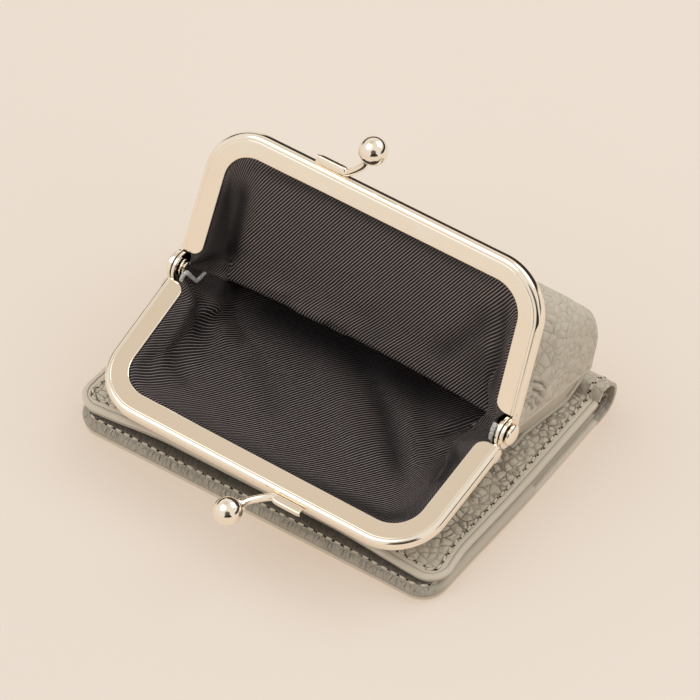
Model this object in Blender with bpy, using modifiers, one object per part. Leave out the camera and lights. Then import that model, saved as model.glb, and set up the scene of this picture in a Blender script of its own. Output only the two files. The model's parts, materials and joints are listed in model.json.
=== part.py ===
# A folded bifold wallet in grained leather, with a kiss-lock coin purse sewn to its top cover.
# It lies on its back cover with the purse mouth held open.
# Units are metres. X runs along the spine, Y from the free edges to the spine, Z up.
# The origin is the middle of the flat face that the wallet lies on.

import math

import bmesh
import bpy
from mathutils import Matrix, Vector

# Folded leaves
LEAF_WIDTH = 0.1115
LEAF_DEPTH = 0.0846
CORNER_RADIUS = 0.0070
EDGE_ROUND = 0.0004
SEAT = 0.0003

# Layers of the leaves
COVER_LEATHER = 0.0009
HEM_LEATHER = 0.0009
HEM_WIDTH = 0.0080
STIFFENER = 0.0005
BILL_LINING = 0.0003
BILL_GAP = 0.0004
INNER_PANEL = 0.0006
FRONT_PANEL = 0.0005
POCKET_LEATHER = 0.00035
POCKET_COUNT = 3
POCKET_STEP = 0.0105
POCKET_TOP_MARGIN = 0.0090
PANEL_INSET = 0.0010

# Spine loop
SPINE_REACH = 0.0093
SPINE_BULGE = 0.0028
SPINE_LIFT = 0.0002
LOOP_FULLNESS = 0.6
FOLD_SETBACK = 0.0030
LINING_LOOP_REACH = 0.0062
LINING_LOOP_BULGE = 0.0010
LINING_LOOP = 0.0005

# Purse frame: two U-shaped jaws of folded sheet on one axis
FRAME_WIDTH = 0.1040
JAW_REACH = 0.0435
JAW_CORNER = 0.0150
JAW_LEAN = 0.0009
JAW_BAND = 0.0064
JAW_BACK_BAND = 0.0054
JAW_DEPTH = 0.0040
JAW_SHEET = 0.0006
JAW_RIM = 0.0017
JAW_START = 0.0046
JAW_END_ROUND = 0.0032
FACE_GAP = 0.0002

# Where the purse sits and how far it is open
PURSE_SHIFT = 0.0010
HINGE_FORWARD = 0.0050
HINGE_RISE = 0.0213
LOWER_TILT = math.radians(-12.0)
UPPER_LIFT = math.radians(65.5)

# Hinge lugs, rivets and washers
LUG_RADIUS = 0.0042
LUG_SHEET = 0.0009
LUG_LENGTH = 0.0078
LUG_INSET = 0.0003
RIVET_RADIUS = 0.0012
RIVET_CLEARANCE = 0.00008
RIVET_HEAD = 0.0030
RIVET_DOME = 0.0014
RIVET_CLENCH = 0.0022
WASHER_RADIUS = 0.0028
WASHER_THICKNESS = 0.0006

# Kiss-lock balls and their stems
BALL_RADIUS = 0.0038
BALL_SIDE = 0.0040
BALL_OUT = 0.0123
BALL_LEAN = 0.0033
STEM_RADIUS = 0.0010
STEM_LENGTH = 0.0092
UPPER_STEM_END = 0.0208
LOWER_STEM_END = 0.0183
STEM_LEVEL = 0.0015
COLLAR_RADIUS = 0.0016
COLLAR_LENGTH = 0.0012

# Purse leather and lining
POUCH_LEATHER = 0.0010
POUCH_SETBACK = 0.0030
POUCH_BASE_INSET = 0.0055
BASE_SETBACK = 0.0020
POUCH_SIDE_INSET = 0.0009
POUCH_FRONT = 0.0320
SHOULDER_RISE = 0.0088
LINING_CLOTH = 0.0004
LINING_DEPTH = 0.0122
LINING_INSET = 0.0092
CORD_RADIUS = 0.00045
CORD_INSET = 0.0034
CORD_OVERHANG = 0.0060
CORD_TAIL_TURN = 0.0030
WELT_RADIUS = 0.0011
WELT_CORNER = 0.0045
SHEET_HOLD = 0.0001
BAND_HOLD = 0.0005
BASE_CORNER = 0.0040
SIDE_CORNER = 0.0034
RAMP_BEFORE = 0.0060
RAMP_AFTER = 0.0015

# Leather and lining start just past the hinge lugs, and are narrower than the frame
POUCH_SIDE_START = LUG_LENGTH + 2 * SEAT
POUCH_FULL_WIDTH = FRAME_WIDTH - 2 * POUCH_SIDE_INSET
POUCH_BASE_WIDTH = FRAME_WIDTH - 2 * POUCH_BASE_INSET
LINING_WIDTH = FRAME_WIDTH - 2 * LINING_INSET

# Heights of the stack, from the table up
BACK_COVER_TOP = COVER_LEATHER + HEM_LEATHER
BILL_LINING_Z = BACK_COVER_TOP + SEAT
BACK_PANEL_Z = BILL_LINING_Z + BILL_LINING + BILL_GAP
POCKET_Z = BACK_PANEL_Z + INNER_PANEL + SEAT
POCKET_RISE = POCKET_LEATHER + SEAT
BACK_LEAF_TOP = POCKET_Z + POCKET_COUNT * POCKET_RISE - SEAT
FRONT_POCKET_Z = BACK_LEAF_TOP + SEAT
FRONT_PANEL_Z = FRONT_POCKET_Z + POCKET_LEATHER + SEAT
FRONT_COVER_Z = FRONT_PANEL_Z + FRONT_PANEL + SEAT
COVER_TOP = FRONT_COVER_Z + HEM_LEATHER + COVER_LEATHER

# How leather and lining lie in the jaws' channel: heights over the mouth, and distances in from the edge
LEATHER_LAY = -FACE_GAP - JAW_DEPTH + JAW_SHEET + SHEET_HOLD + POUCH_LEATHER / 2
LINING_LAY = -FACE_GAP - JAW_SHEET - SHEET_HOLD - LINING_CLOTH / 2
TUCK = JAW_SHEET + 0.0008
HELD_TO = JAW_BAND - BAND_HOLD
CHANNEL_LIP = JAW_BAND + 2 * BAND_HOLD

# Places that other pieces share
FREE_EDGE = -LEAF_DEPTH / 2
SPINE_BACK = LEAF_DEPTH / 2
LEAF_END = SPINE_BACK - SPINE_REACH
FOLD_Y = LEAF_END + FOLD_SETBACK
FOLD_Z = BACK_LEAF_TOP + SEAT / 2
HINGE_Y = -HINGE_FORWARD
HINGE_Z = COVER_TOP + HINGE_RISE
POUCH_BACK = SPINE_BACK - POUCH_SETBACK
POUCH_FLOOR = COVER_TOP + SEAT + POUCH_LEATHER / 2
RAMP_START = LEAF_END - RAMP_BEFORE
RAMP_END = LEAF_END + RAMP_AFTER

HINGE_PLACE = Vector((PURSE_SHIFT, HINGE_Y, HINGE_Z))
UPPER_FRAME = Matrix.Translation(HINGE_PLACE) @ Matrix.Rotation(UPPER_LIFT, 4, 'X')
LOWER_FRAME = (Matrix.Translation(HINGE_PLACE) @ Matrix.Rotation(math.pi, 4, 'Z')
               @ Matrix.Rotation(LOWER_TILT, 4, 'X'))

# Colour, roughness and metallic of each finish
FINISHES = {
    'grained_leather': ((0.46, 0.42, 0.34), 0.55, 0.0),
    'plain_leather': ((0.42, 0.38, 0.31), 0.60, 0.0),
    'board': ((0.62, 0.55, 0.44), 0.90, 0.0),
    'lining_cloth': ((0.045, 0.038, 0.040), 0.75, 0.0),
    'gilt_metal': ((0.83, 0.69, 0.52), 0.14, 1.0),
    'paper_cord': ((0.70, 0.69, 0.65), 0.95, 0.0),
}


def clear_scene():
    for obj in list(bpy.data.objects):
        bpy.data.objects.remove(obj, do_unlink=True)


def make_collection(name):
    collection = bpy.data.collections.new(name)
    bpy.context.scene.collection.children.link(collection)
    return collection


def make_finish(name):
    colour, roughness, metallic = FINISHES[name]
    finish = bpy.data.materials.new(name)
    finish.use_nodes = True
    shader = finish.node_tree.nodes['Principled BSDF']
    shader.inputs['Base Color'].default_value = (*colour, 1.0)
    shader.inputs['Roughness'].default_value = roughness
    shader.inputs['Metallic'].default_value = metallic
    finish.diffuse_color = (*colour, 1.0)
    return finish


def axis_empty(name, frame, carrier=None):
    """An empty on a joint's axis, carried by the empty of the joint before it where there is one."""
    empty = bpy.data.objects.new(name, None)
    empty.empty_display_size = 0.02
    parts.objects.link(empty)
    empty.matrix_basis = frame
    if carrier is not None:
        empty.parent = carrier
        empty.matrix_basis = carrier.matrix_world.inverted() @ frame
    bpy.context.view_layer.update()
    return empty


def add_piece(name, mesh, finish, axis=None, smooth_angle=35.0):
    """Put a mesh in the scene as one named piece, in the space of its axis where it has one."""
    mesh.name = name
    mesh.materials.clear()
    mesh.materials.append(finishes[finish])
    mesh.shade_smooth()
    mesh.set_sharp_from_angle(angle=math.radians(smooth_angle))
    obj = bpy.data.objects.new(name, mesh)
    parts.objects.link(obj)
    if axis is not None:
        obj.parent = axis
    return obj


def mesh_from_bmesh(bm):
    bmesh.ops.recalc_face_normals(bm, faces=bm.faces)
    mesh = bpy.data.meshes.new('piece')
    bm.to_mesh(mesh)
    bm.free()
    return mesh


def loft(rings, closed_rings=True):
    """Join rings of points, each with as many points as the last; closed rings get end caps."""
    bm = bmesh.new()
    rows = [[bm.verts.new(p) for p in ring] for ring in rings]
    count = len(rings[0])
    last = count if closed_rings else count - 1
    for low, high in zip(rows, rows[1:]):
        for i in range(last):
            j = (i + 1) % count
            bm.faces.new((low[i], low[j], high[j], high[i]))
    if closed_rings:
        bm.faces.new(rows[0])
        bm.faces.new(rows[-1])
    return mesh_from_bmesh(bm)


def evaluated_mesh(obj):
    """The object's mesh with its modifiers applied, in world space; the object is removed."""
    bpy.context.view_layer.update()
    graph = bpy.context.evaluated_depsgraph_get()
    mesh = bpy.data.meshes.new_from_object(obj.evaluated_get(graph))
    mesh.transform(obj.matrix_world)
    bpy.data.objects.remove(obj, do_unlink=True)
    bm = bmesh.new()
    bm.from_mesh(mesh)
    bmesh.ops.remove_doubles(bm, verts=bm.verts, dist=0.00001)
    bm.to_mesh(mesh)
    bm.free()
    return mesh


def guide(name, mesh):
    """A hidden shape that cuts or joins another."""
    obj = bpy.data.objects.new(name, mesh)
    guides.objects.link(obj)
    obj.hide_render = True
    obj.display_type = 'WIRE'
    return obj


def combine(obj, other, operation):
    change = obj.modifiers.new(operation.lower(), 'BOOLEAN')
    change.operation = operation
    change.object = other
    change.solver = 'EXACT'


def flat_plate(outlines, thickness, edge_round=0.0):
    """A plate from flat outlines, the first the edge and the rest its holes, centred on Z = 0."""
    curve = bpy.data.curves.new('outline', 'CURVE')
    curve.dimensions = '2D'
    curve.fill_mode = 'BOTH'
    curve.extrude = thickness / 2 - edge_round
    curve.bevel_depth = edge_round
    curve.bevel_resolution = 1
    curve.offset = -edge_round
    for points in outlines:
        spline = curve.splines.new('POLY')
        spline.points.add(len(points) - 1)
        for point, (x, y) in zip(spline.points, points):
            point.co = (x, y, 0, 1)
        spline.use_cyclic_u = True
    obj = bpy.data.objects.new('outline', curve)
    parts.objects.link(obj)
    return evaluated_mesh(obj)


def rod(points, radius, sides=2, resolution=0):
    """A round rod along points, straight between them or, with a resolution, on one smooth curve."""
    curve = bpy.data.curves.new('rod', 'CURVE')
    curve.dimensions = '3D'
    curve.bevel_depth = radius
    curve.bevel_resolution = sides
    curve.use_fill_caps = True
    if resolution:
        spline = curve.splines.new('BEZIER')
        spline.bezier_points.add(len(points) - 1)
        for point, place in zip(spline.bezier_points, points):
            point.co = place
            point.handle_left_type = 'AUTO'
            point.handle_right_type = 'AUTO'
        spline.resolution_u = resolution
    else:
        spline = curve.splines.new('POLY')
        spline.points.add(len(points) - 1)
        for point, place in zip(spline.points, points):
            point.co = (*place, 1)
    obj = bpy.data.objects.new('rod', curve)
    parts.objects.link(obj)
    return evaluated_mesh(obj)


def turned(profile, direction, place, steps=24):
    """Turn a profile of (radius, height) points, top to bottom, about a direction through a place."""
    mesh = bpy.data.meshes.new('profile')
    points = [(radius, 0, height) for radius, height in profile]
    mesh.from_pydata(points, [(i, i + 1) for i in range(len(points) - 1)], [])
    obj = bpy.data.objects.new('profile', mesh)
    parts.objects.link(obj)
    screw = obj.modifiers.new('turn', 'SCREW')
    screw.steps = steps
    screw.render_steps = steps
    screw.use_merge_vertices = True
    screw.merge_threshold = 0.00001
    obj.matrix_world = Matrix.Translation(place) @ direction.to_track_quat('Z', 'Y').to_matrix().to_4x4()
    return evaluated_mesh(obj)


def ring_profile(inner, outer, low, high):
    return [(inner, high), (outer, high), (outer, low), (inner, low), (inner, high)]


def arc(radius, start, end, steps, centre=(0.0, 0.0)):
    turns = [start + (end - start) * i / steps for i in range(steps + 1)]
    return [(centre[0] + radius * math.cos(a), centre[1] + radius * math.sin(a)) for a in turns]


def leaf_outline(inset, back, radius, front=None):
    """A leaf's outline seen from above: round corners at the free edge, square ones at the back."""
    side = LEAF_WIDTH / 2 - inset
    front = FREE_EDGE + inset if front is None else front
    centre_x = side - radius
    centre_y = front + radius
    left = arc(radius, math.pi, 1.5 * math.pi, 6, (-centre_x, centre_y))
    right = arc(radius, 1.5 * math.pi, 2 * math.pi, 6, (centre_x, centre_y))
    return left + right + [(side, back), (-side, back)]


# Leaves: covers with turned hems, stiffeners, linings, inner panels and card pockets

def leaf_layer(name, z, thickness, inset, back, finish, axis=None, edge_round=0.0):
    radius = max(CORNER_RADIUS - inset, 0.001)
    mesh = flat_plate([leaf_outline(inset, back, radius)], thickness, edge_round)
    mesh.transform(Matrix.Translation((0, 0, z + thickness / 2)))
    return place_on(name, mesh, finish, axis)


def place_on(name, mesh, finish, axis):
    """Add a mesh given in world space, with the axis as its origin where it has one."""
    if axis is not None:
        mesh.transform(axis.matrix_world.inverted())
    return add_piece(name, mesh, finish, axis)


def hemmed_cover(name, z, recess_up, axis=None):
    """Cover leather turned over along three edges; the recess inside the hem holds the stiffener."""
    thickness = COVER_LEATHER + HEM_LEATHER
    outline = leaf_outline(0.0, LEAF_END, CORNER_RADIUS)
    mesh = flat_plate([outline], thickness, EDGE_ROUND)
    mesh.transform(Matrix.Translation((0, 0, z + thickness / 2)))
    cover = place_on(name, mesh, 'grained_leather', axis)
    overrun = 0.002
    recess = leaf_outline(HEM_WIDTH, LEAF_END + overrun, 0.002)
    depth = HEM_LEATHER + overrun
    cutter = flat_plate([recess], depth)
    centre = z + thickness - HEM_LEATHER + depth / 2 if recess_up else z + HEM_LEATHER - depth / 2
    cutter.transform(Matrix.Translation((0, 0, centre)))
    combine(cover, guide(name + '_recess', cutter), 'DIFFERENCE')
    return cover


def stiffener(name, z, axis=None):
    outline = leaf_outline(HEM_WIDTH + SEAT, LEAF_END - SEAT, 0.0017)
    mesh = flat_plate([outline], STIFFENER)
    mesh.transform(Matrix.Translation((0, 0, z + STIFFENER / 2)))
    return place_on(name, mesh, 'board', axis)


def back_leaf():
    hemmed_cover('back_cover', 0.0, True)
    stiffener('back_stiffener', COVER_LEATHER + SEAT)
    leaf_layer('back_cover_lining', BILL_LINING_Z, BILL_LINING, PANEL_INSET, LEAF_END, 'lining_cloth')
    leaf_layer('back_inner_panel', BACK_PANEL_Z, INNER_PANEL, PANEL_INSET, LEAF_END, 'plain_leather')
    for i in range(POCKET_COUNT):
        mouth = LEAF_END - POCKET_TOP_MARGIN - i * POCKET_STEP
        leaf_layer(f'back_card_pocket_{i + 1}', POCKET_Z + i * POCKET_RISE, POCKET_LEATHER,
                   PANEL_INSET, mouth, 'plain_leather')


def front_leaf(axis):
    mouth = LEAF_END - POCKET_TOP_MARGIN
    leaf_layer('front_card_pocket', FRONT_POCKET_Z, POCKET_LEATHER, PANEL_INSET, mouth,
               'plain_leather', axis)
    leaf_layer('front_inner_panel', FRONT_PANEL_Z, FRONT_PANEL, PANEL_INSET, LEAF_END,
               'plain_leather', axis)
    stiffener('front_stiffener', COVER_TOP - COVER_LEATHER - SEAT - STIFFENER, axis)
    hemmed_cover('front_cover', FRONT_COVER_Z, False, axis)


# Spine: the cover leather and the inner lining each loop from one leaf to the other

def loop_strip(name, low_z, high_z, reach, bulge, thickness, inset, finish):
    """A strip whose section is a loop with a raised top, running the length of the spine."""
    start = LEAF_END + SEAT
    half = (high_z + bulge - low_z) / 2
    steps = 16
    outside = [(start, low_z)]
    for i in range(1, steps):
        turn = -math.pi / 2 + math.pi * i / steps
        y = start + reach * math.cos(turn) ** LOOP_FULLNESS
        outside.append((y, low_z + half + half * math.sin(turn)))
    outside.append((start, high_z))
    inside = inset_loop(outside, thickness)
    ring = outside + inside[::-1]
    half_width = LEAF_WIDTH / 2 - inset
    rings = [[(x, y, z) for y, z in ring] for x in (-half_width, half_width)]
    return add_piece(name, loft(rings), finish)


def inset_loop(points, thickness):
    """The inner side of a strip: each point moved square to its neighbours by the thickness."""
    moved = []
    for i, (y, z) in enumerate(points):
        before = points[max(i - 1, 0)]
        after = points[min(i + 1, len(points) - 1)]
        along = Vector((after[0] - before[0], after[1] - before[1])).normalized()
        moved.append((y - along.y * thickness, z + along.x * thickness))
    moved[0] = (points[0][0], points[0][1] + thickness)
    moved[-1] = (points[-1][0], points[-1][1] - thickness)
    return moved


def spine():
    loop_strip('spine_cover', SPINE_LIFT, COVER_TOP, SPINE_REACH - SEAT, SPINE_BULGE, COVER_LEATHER, 0.0,
               'grained_leather')
    loop_strip('spine_lining', BACK_PANEL_Z, FRONT_PANEL_Z + FRONT_PANEL, LINING_LOOP_REACH,
               LINING_LOOP_BULGE, LINING_LOOP, PANEL_INSET, 'plain_leather')


# Purse frame, in the jaw's own space: X along the axis, Y out to the rail, Z towards the mouth

def jaw_path(arm_places, corner_steps=7, rail_steps=1):
    """Points round a jaw's outer edge, each with its inward direction."""
    half = FRAME_WIDTH / 2
    arm_end = JAW_REACH - JAW_CORNER
    right = [(half - JAW_LEAN * t / arm_end, t, -1.0, 0.0) for t in arm_places]
    centre = half - JAW_LEAN - JAW_CORNER
    for i in range(corner_steps + 1):
        a = math.pi / 2 * i / corner_steps
        c, s = math.cos(a), math.sin(a)
        right.append((centre + JAW_CORNER * c, arm_end + JAW_CORNER * s, -c, -s))
    rail = []
    for i in range(1, rail_steps):
        x = centre - 2 * centre * i / rail_steps
        rail.append((x, JAW_REACH, 0.0, -1.0))
    left = [(-x, t, -nx, nt) for x, t, nx, nt in right]
    return right + rail + left[::-1]


def channel_section():
    """The folded sheet's section, as (distance in from the edge, height over the back)."""
    rim = arc(JAW_RIM, math.pi / 2, math.pi, 4, (JAW_RIM, JAW_DEPTH - JAW_RIM))
    heel = arc(JAW_RIM, math.pi, 1.5 * math.pi, 4, (JAW_RIM, JAW_RIM))
    outside = [(JAW_BAND, JAW_DEPTH)] + rim + heel + [(JAW_BACK_BAND, 0.0)]
    inside = [(JAW_BACK_BAND, JAW_SHEET), (JAW_SHEET, JAW_SHEET),
              (JAW_SHEET, JAW_DEPTH - JAW_SHEET), (JAW_BAND, JAW_DEPTH - JAW_SHEET)]
    return outside + inside


def jaw_channel_mesh():
    steps = 4
    starts = [JAW_START + JAW_END_ROUND * (1 - math.cos(math.pi / 2 * i / steps)) for i in range(steps + 1)]
    section = channel_section()
    rings = []
    for x, t, nx, nt in jaw_path(starts):
        short = max(JAW_START + JAW_END_ROUND - t, 0.0)
        band = JAW_BAND - JAW_END_ROUND + math.sqrt(max(JAW_END_ROUND ** 2 - short ** 2, 0.0))
        ring = []
        for inset, height in section:
            d = min(inset, band)
            ring.append((x + nx * d, t + nt * d, height - JAW_DEPTH - FACE_GAP))
        rings.append(ring)
    return loft(rings)


def lug_mesh(side, outer_x):
    """A flat lug round the rivet, standing in line with the arm; outer_x is its outer face."""
    back = -JAW_DEPTH - FACE_GAP + 0.0002
    face = -FACE_GAP - 0.0002
    disc = arc(LUG_RADIUS, math.radians(-5), math.radians(300), 26)
    outline = [(LUG_LENGTH, back), (LUG_LENGTH, face)] + disc
    bore = arc(RIVET_RADIUS + RIVET_CLEARANCE, 0, 2 * math.pi, 24)[:-1]
    mesh = flat_plate([outline, bore], LUG_SHEET)
    middle = side * (outer_x - LUG_SHEET / 2)
    stand = Matrix(((0, 0, 1, middle), (1, 0, 0, 0), (0, 1, 0, 0), (0, 0, 0, 1)))
    mesh.transform(stand)
    return mesh


def joggle_mesh(side, outer_x):
    """The short step that sets an inner lug in from its arm."""
    outside = FRAME_WIDTH / 2 - JAW_SHEET / 2
    inside = outer_x - LUG_SHEET / 2
    low = Vector((inside, JAW_START + 0.0004, -JAW_DEPTH - FACE_GAP + 0.0003))
    high = Vector((outside, LUG_LENGTH - 0.0004, -FACE_GAP - 0.0003))
    bm = bmesh.new()
    bmesh.ops.create_cube(bm, size=1.0)
    for vert in bm.verts:
        vert.co = [side * (a + b) / 2 + c * (b - a) if k == 0 else (a + b) / 2 + c * (b - a)
                   for k, (a, b, c) in enumerate(zip(low, high, vert.co))]
    return mesh_from_bmesh(bm)


def jaw(name, axis, lug_outer_x, inner):
    body = add_piece(name, jaw_channel_mesh(), 'gilt_metal', axis)
    for side, label in ((-1, 'left'), (1, 'right')):
        pieces = [('lug', lug_mesh(side, lug_outer_x))]
        if inner:
            pieces.append(('joggle', joggle_mesh(side, lug_outer_x)))
        for kind, mesh in pieces:
            helper = guide(f'{name}_{label}_{kind}', mesh)
            helper.parent = axis
            combine(body, helper, 'UNION')
    return body


def jaw_cord(name, axis):
    """The paper cord that wedges leather and lining in the channel."""
    places = [JAW_START + JAW_END_ROUND + 0.001]
    path = [(x + nx * CORD_INSET, t + nt * CORD_INSET) for x, t, nx, nt in jaw_path(places, corner_steps=5)]
    height = LINING_LAY - LINING_CLOTH / 2 - SEAT / 2 - CORD_RADIUS
    ends = path[0]
    tail_x = ends[0] - CORD_TAIL_TURN
    tail = [(tail_x, ends[1] - CORD_OVERHANG, height), (tail_x + SEAT, ends[1] - CORD_OVERHANG / 2, height)]
    points = tail + [(x, t, height) for x, t in path] + [(-x, t, z) for x, t, z in tail[::-1]]
    add_piece(name, rod(points, CORD_RADIUS, 1), 'paper_cord', axis)


def clasp(prefix, axis, stem_end):
    """A ball on a bent stem that lies against the rail's outer wall."""
    wall = JAW_REACH + STEM_RADIUS + SEAT
    middle = -STEM_LEVEL
    ball = Vector((-BALL_SIDE, JAW_REACH + BALL_OUT, BALL_LEAN))
    bend = Vector((STEM_LENGTH - stem_end, wall, middle))
    throat = bend.lerp(ball, 0.45) + Vector((0.0012, -0.0004, -0.0002))
    direction = (ball - throat).normalized()
    neck = ball - direction * (BALL_RADIUS + COLLAR_LENGTH + 0.0001)
    before = bend - Vector((0.0015, 0, 0))
    points = [(-stem_end, wall, middle), before, bend, throat, neck]
    add_piece(prefix + '_clasp_stem', rod(points, STEM_RADIUS, 2, 5), 'gilt_metal', axis)
    foot = -BALL_RADIUS - COLLAR_LENGTH
    seam = math.asin(COLLAR_RADIUS * 0.8 / BALL_RADIUS)
    sphere = arc(BALL_RADIUS, math.pi / 2, -math.pi / 2 + seam, 15)
    collar = [(COLLAR_RADIUS * 0.8, sphere[-1][1] - 0.0002), (COLLAR_RADIUS, foot + 0.0006),
              (COLLAR_RADIUS, foot + 0.0002), (COLLAR_RADIUS * 0.75, foot), (0.0, foot)]
    sphere[0] = (0.0, BALL_RADIUS)
    add_piece(prefix + '_clasp_ball', turned(sphere + collar, direction, ball), 'gilt_metal', axis)


def rivet(name, side, axis, clench_x, head_x):
    """A domed rivet through both lugs; distances are along the axis from the purse's middle."""
    middle = (clench_x + head_x) / 2
    top = head_x + RIVET_DOME - middle
    head = head_x - middle
    foot = clench_x - middle
    dome = arc(1.0, math.pi / 2, 0.0, 5)
    profile = [(RIVET_HEAD * c, head + 0.0003 + (top - head - 0.0003) * s) for c, s in dome]
    profile[0] = (0.0, top)
    profile += [(RIVET_HEAD, head), (RIVET_RADIUS, head), (RIVET_RADIUS, foot),
                (RIVET_CLENCH, foot), (RIVET_CLENCH * 0.8, foot - 0.0006), (0.0, foot - 0.0006)]
    place = Vector((side * middle, 0, 0))
    add_piece(name, turned(profile, Vector((side, 0, 0)), place), 'gilt_metal', axis)


def hinge_hardware(axis, inner_face):
    """Rivets and washers; inner_face is the inner side of the inner lugs."""
    washer_x = inner_face - SEAT - WASHER_THICKNESS / 2
    clench_x = inner_face - 2 * SEAT - WASHER_THICKNESS
    head_x = FRAME_WIDTH / 2 - LUG_INSET + SEAT
    for side, label in ((-1, 'left'), (1, 'right')):
        # The lower jaw's own space is turned half round, so its left is the wallet's right.
        world_label = 'left' if label == 'right' else 'right'
        profile = ring_profile(RIVET_RADIUS + RIVET_CLEARANCE, WASHER_RADIUS,
                               -WASHER_THICKNESS / 2, WASHER_THICKNESS / 2)
        place = Vector((side * washer_x, 0, 0))
        washer = turned(profile, Vector((side, 0, 0)), place)
        add_piece('hinge_washer_' + world_label, washer, 'gilt_metal', axis)
        rivet('hinge_rivet_' + world_label, side, axis, clench_x, head_x)


# Purse leather and lining: sheets through U-shaped stations fanned round the hinge axis

def upper_row(inset, height, steps=(4, 5, 6)):
    """A row of points on the upper jaw, in from its edge; the rail runs from right to left."""
    return [UPPER_FRAME @ Vector((x + nx * inset, t + nt * inset, height))
            for x, t, nx, nt in jaw_path(arm_steps(steps[0]), steps[1], steps[2])]


def lower_row(inset, height, steps=(4, 5, 6)):
    return [LOWER_FRAME @ Vector((-x - nx * inset, t + nt * inset, height))
            for x, t, nx, nt in jaw_path(arm_steps(steps[0]), steps[1], steps[2])]


def arm_steps(count):
    arm_end = JAW_REACH - JAW_CORNER
    return [POUCH_SIDE_START + (arm_end - POUCH_SIDE_START) * i / count for i in range(count)]


def station(y, z, width, corner, lay, steps=(4, 5, 6)):
    """A U whose floor lies on the line (y, z) and whose arms start in a fan round the hinge."""
    slant = math.atan2(-lay, POUCH_SIDE_START)
    first = -LOWER_TILT
    last = math.pi + UPPER_LIFT
    turn = math.atan2(HINGE_Z - z, HINGE_Y - y) % (2 * math.pi)
    fan = first + slant + (turn - first) * (last - first - 2 * slant) / (last - first)
    radius = math.hypot(POUCH_SIDE_START, lay)
    root = HINGE_PLACE - Vector((0, radius * math.cos(fan), radius * math.sin(fan)))
    out = Vector((PURSE_SHIFT, y, z)) - root
    reach = out.length
    out.normalize()
    half = width / 2
    corner = min(corner, reach * 0.7)
    arm_end = reach - corner
    right = [(half, arm_end * i / steps[0]) for i in range(steps[0])]
    right += [(half - corner + c, arm_end + s) for c, s in arc(corner, 0, math.pi / 2, steps[1])]
    flat = half - corner
    rail = [(flat - 2 * flat * i / steps[2], reach) for i in range(1, steps[2])]
    outline = right + rail + [(-x, t) for x, t in right[::-1]]
    return [root + Vector((x, 0, 0)) + out * t for x, t in outline]


def moved(row, y, z):
    return [point + Vector((0, y, z)) for point in row]


def sheet(name, rows, thickness, finish, axis):
    mesh = loft(rows, closed_rings=False)
    piece = place_on(name, mesh, finish, axis)
    solidify = piece.modifiers.new('thickness', 'SOLIDIFY')
    solidify.thickness = thickness
    solidify.offset = 0.0
    return piece


def pouch_leather(axis):
    """The pouch's leather in two pieces that meet on a slant from the hinge to the back of its base."""
    wide = POUCH_FULL_WIDTH - POUCH_LEATHER
    base = POUCH_BASE_WIDTH
    shoulder = HINGE_Z + SHOULDER_RISE
    jaw_top = HINGE_Z + JAW_REACH * math.sin(UPPER_LIFT)
    lay = LEATHER_LAY
    behind = -FACE_GAP - JAW_DEPTH - SEAT - POUCH_LEATHER / 2
    fold = behind - 0.0004
    seam = station(POUCH_BACK - 0.0008, HINGE_Z - 0.0135, wide - 0.0015, SIDE_CORNER, fold)
    upper = [
        upper_row(TUCK, lay),
        upper_row(HELD_TO, lay),
        upper_row(CHANNEL_LIP, lay),
        upper_row(CHANNEL_LIP, behind),
        upper_row(JAW_BAND, fold),
        station(POUCH_BACK - 0.0215, jaw_top - 0.0120, wide - 0.0080, 0.0140, fold),
        station(POUCH_BACK - 0.0110, jaw_top - 0.0216, wide, 0.0085, fold),
        station(POUCH_BACK - 0.0045, shoulder, wide, 0.0045, fold),
        station(POUCH_BACK - 0.0016, shoulder - 0.0042, wide, 0.0038, fold),
        station(POUCH_BACK, HINGE_Z - 0.0030, wide, SIDE_CORNER, fold),
        station(POUCH_BACK - 0.0001, HINGE_Z - 0.0090, wide - 0.0010, SIDE_CORNER, fold),
        seam,
    ]
    sheet('purse_upper_leather', upper, POUCH_LEATHER, 'grained_leather', axis)
    rear = COVER_TOP + SPINE_BULGE + SEAT + POUCH_LEATHER / 2
    lower = [
        moved(seam, -SEAT, -2 * SEAT),
        station(POUCH_BACK - BASE_SETBACK, rear + 0.0008, base + 0.0020, BASE_CORNER, fold),
        station(POUCH_BACK - BASE_SETBACK - 0.0010, rear, base, BASE_CORNER, fold),
        station(RAMP_END, rear, base, BASE_CORNER, fold),
        station(RAMP_START, POUCH_FLOOR, base, BASE_CORNER, fold),
        station(POUCH_BACK - 0.0280, POUCH_FLOOR, base, BASE_CORNER, fold),
        station(HINGE_Y, POUCH_FLOOR, base, BASE_CORNER, fold),
        station(HINGE_Y - 0.0140, POUCH_FLOOR, base, BASE_CORNER, fold),
        station(-POUCH_FRONT + 0.0050, POUCH_FLOOR, base, 0.0045, fold),
        station(-POUCH_FRONT - 0.0020, POUCH_FLOOR + 0.0025, base, 0.0060, fold),
        station(-POUCH_FRONT - 0.0062, POUCH_FLOOR + 0.0066, base - 0.0020, 0.0075, fold),
        lower_row(CHANNEL_LIP, lay),
        lower_row(HELD_TO, lay),
        lower_row(TUCK, lay),
    ]
    sheet('purse_lower_leather', lower, POUCH_LEATHER, 'grained_leather', axis)


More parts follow.
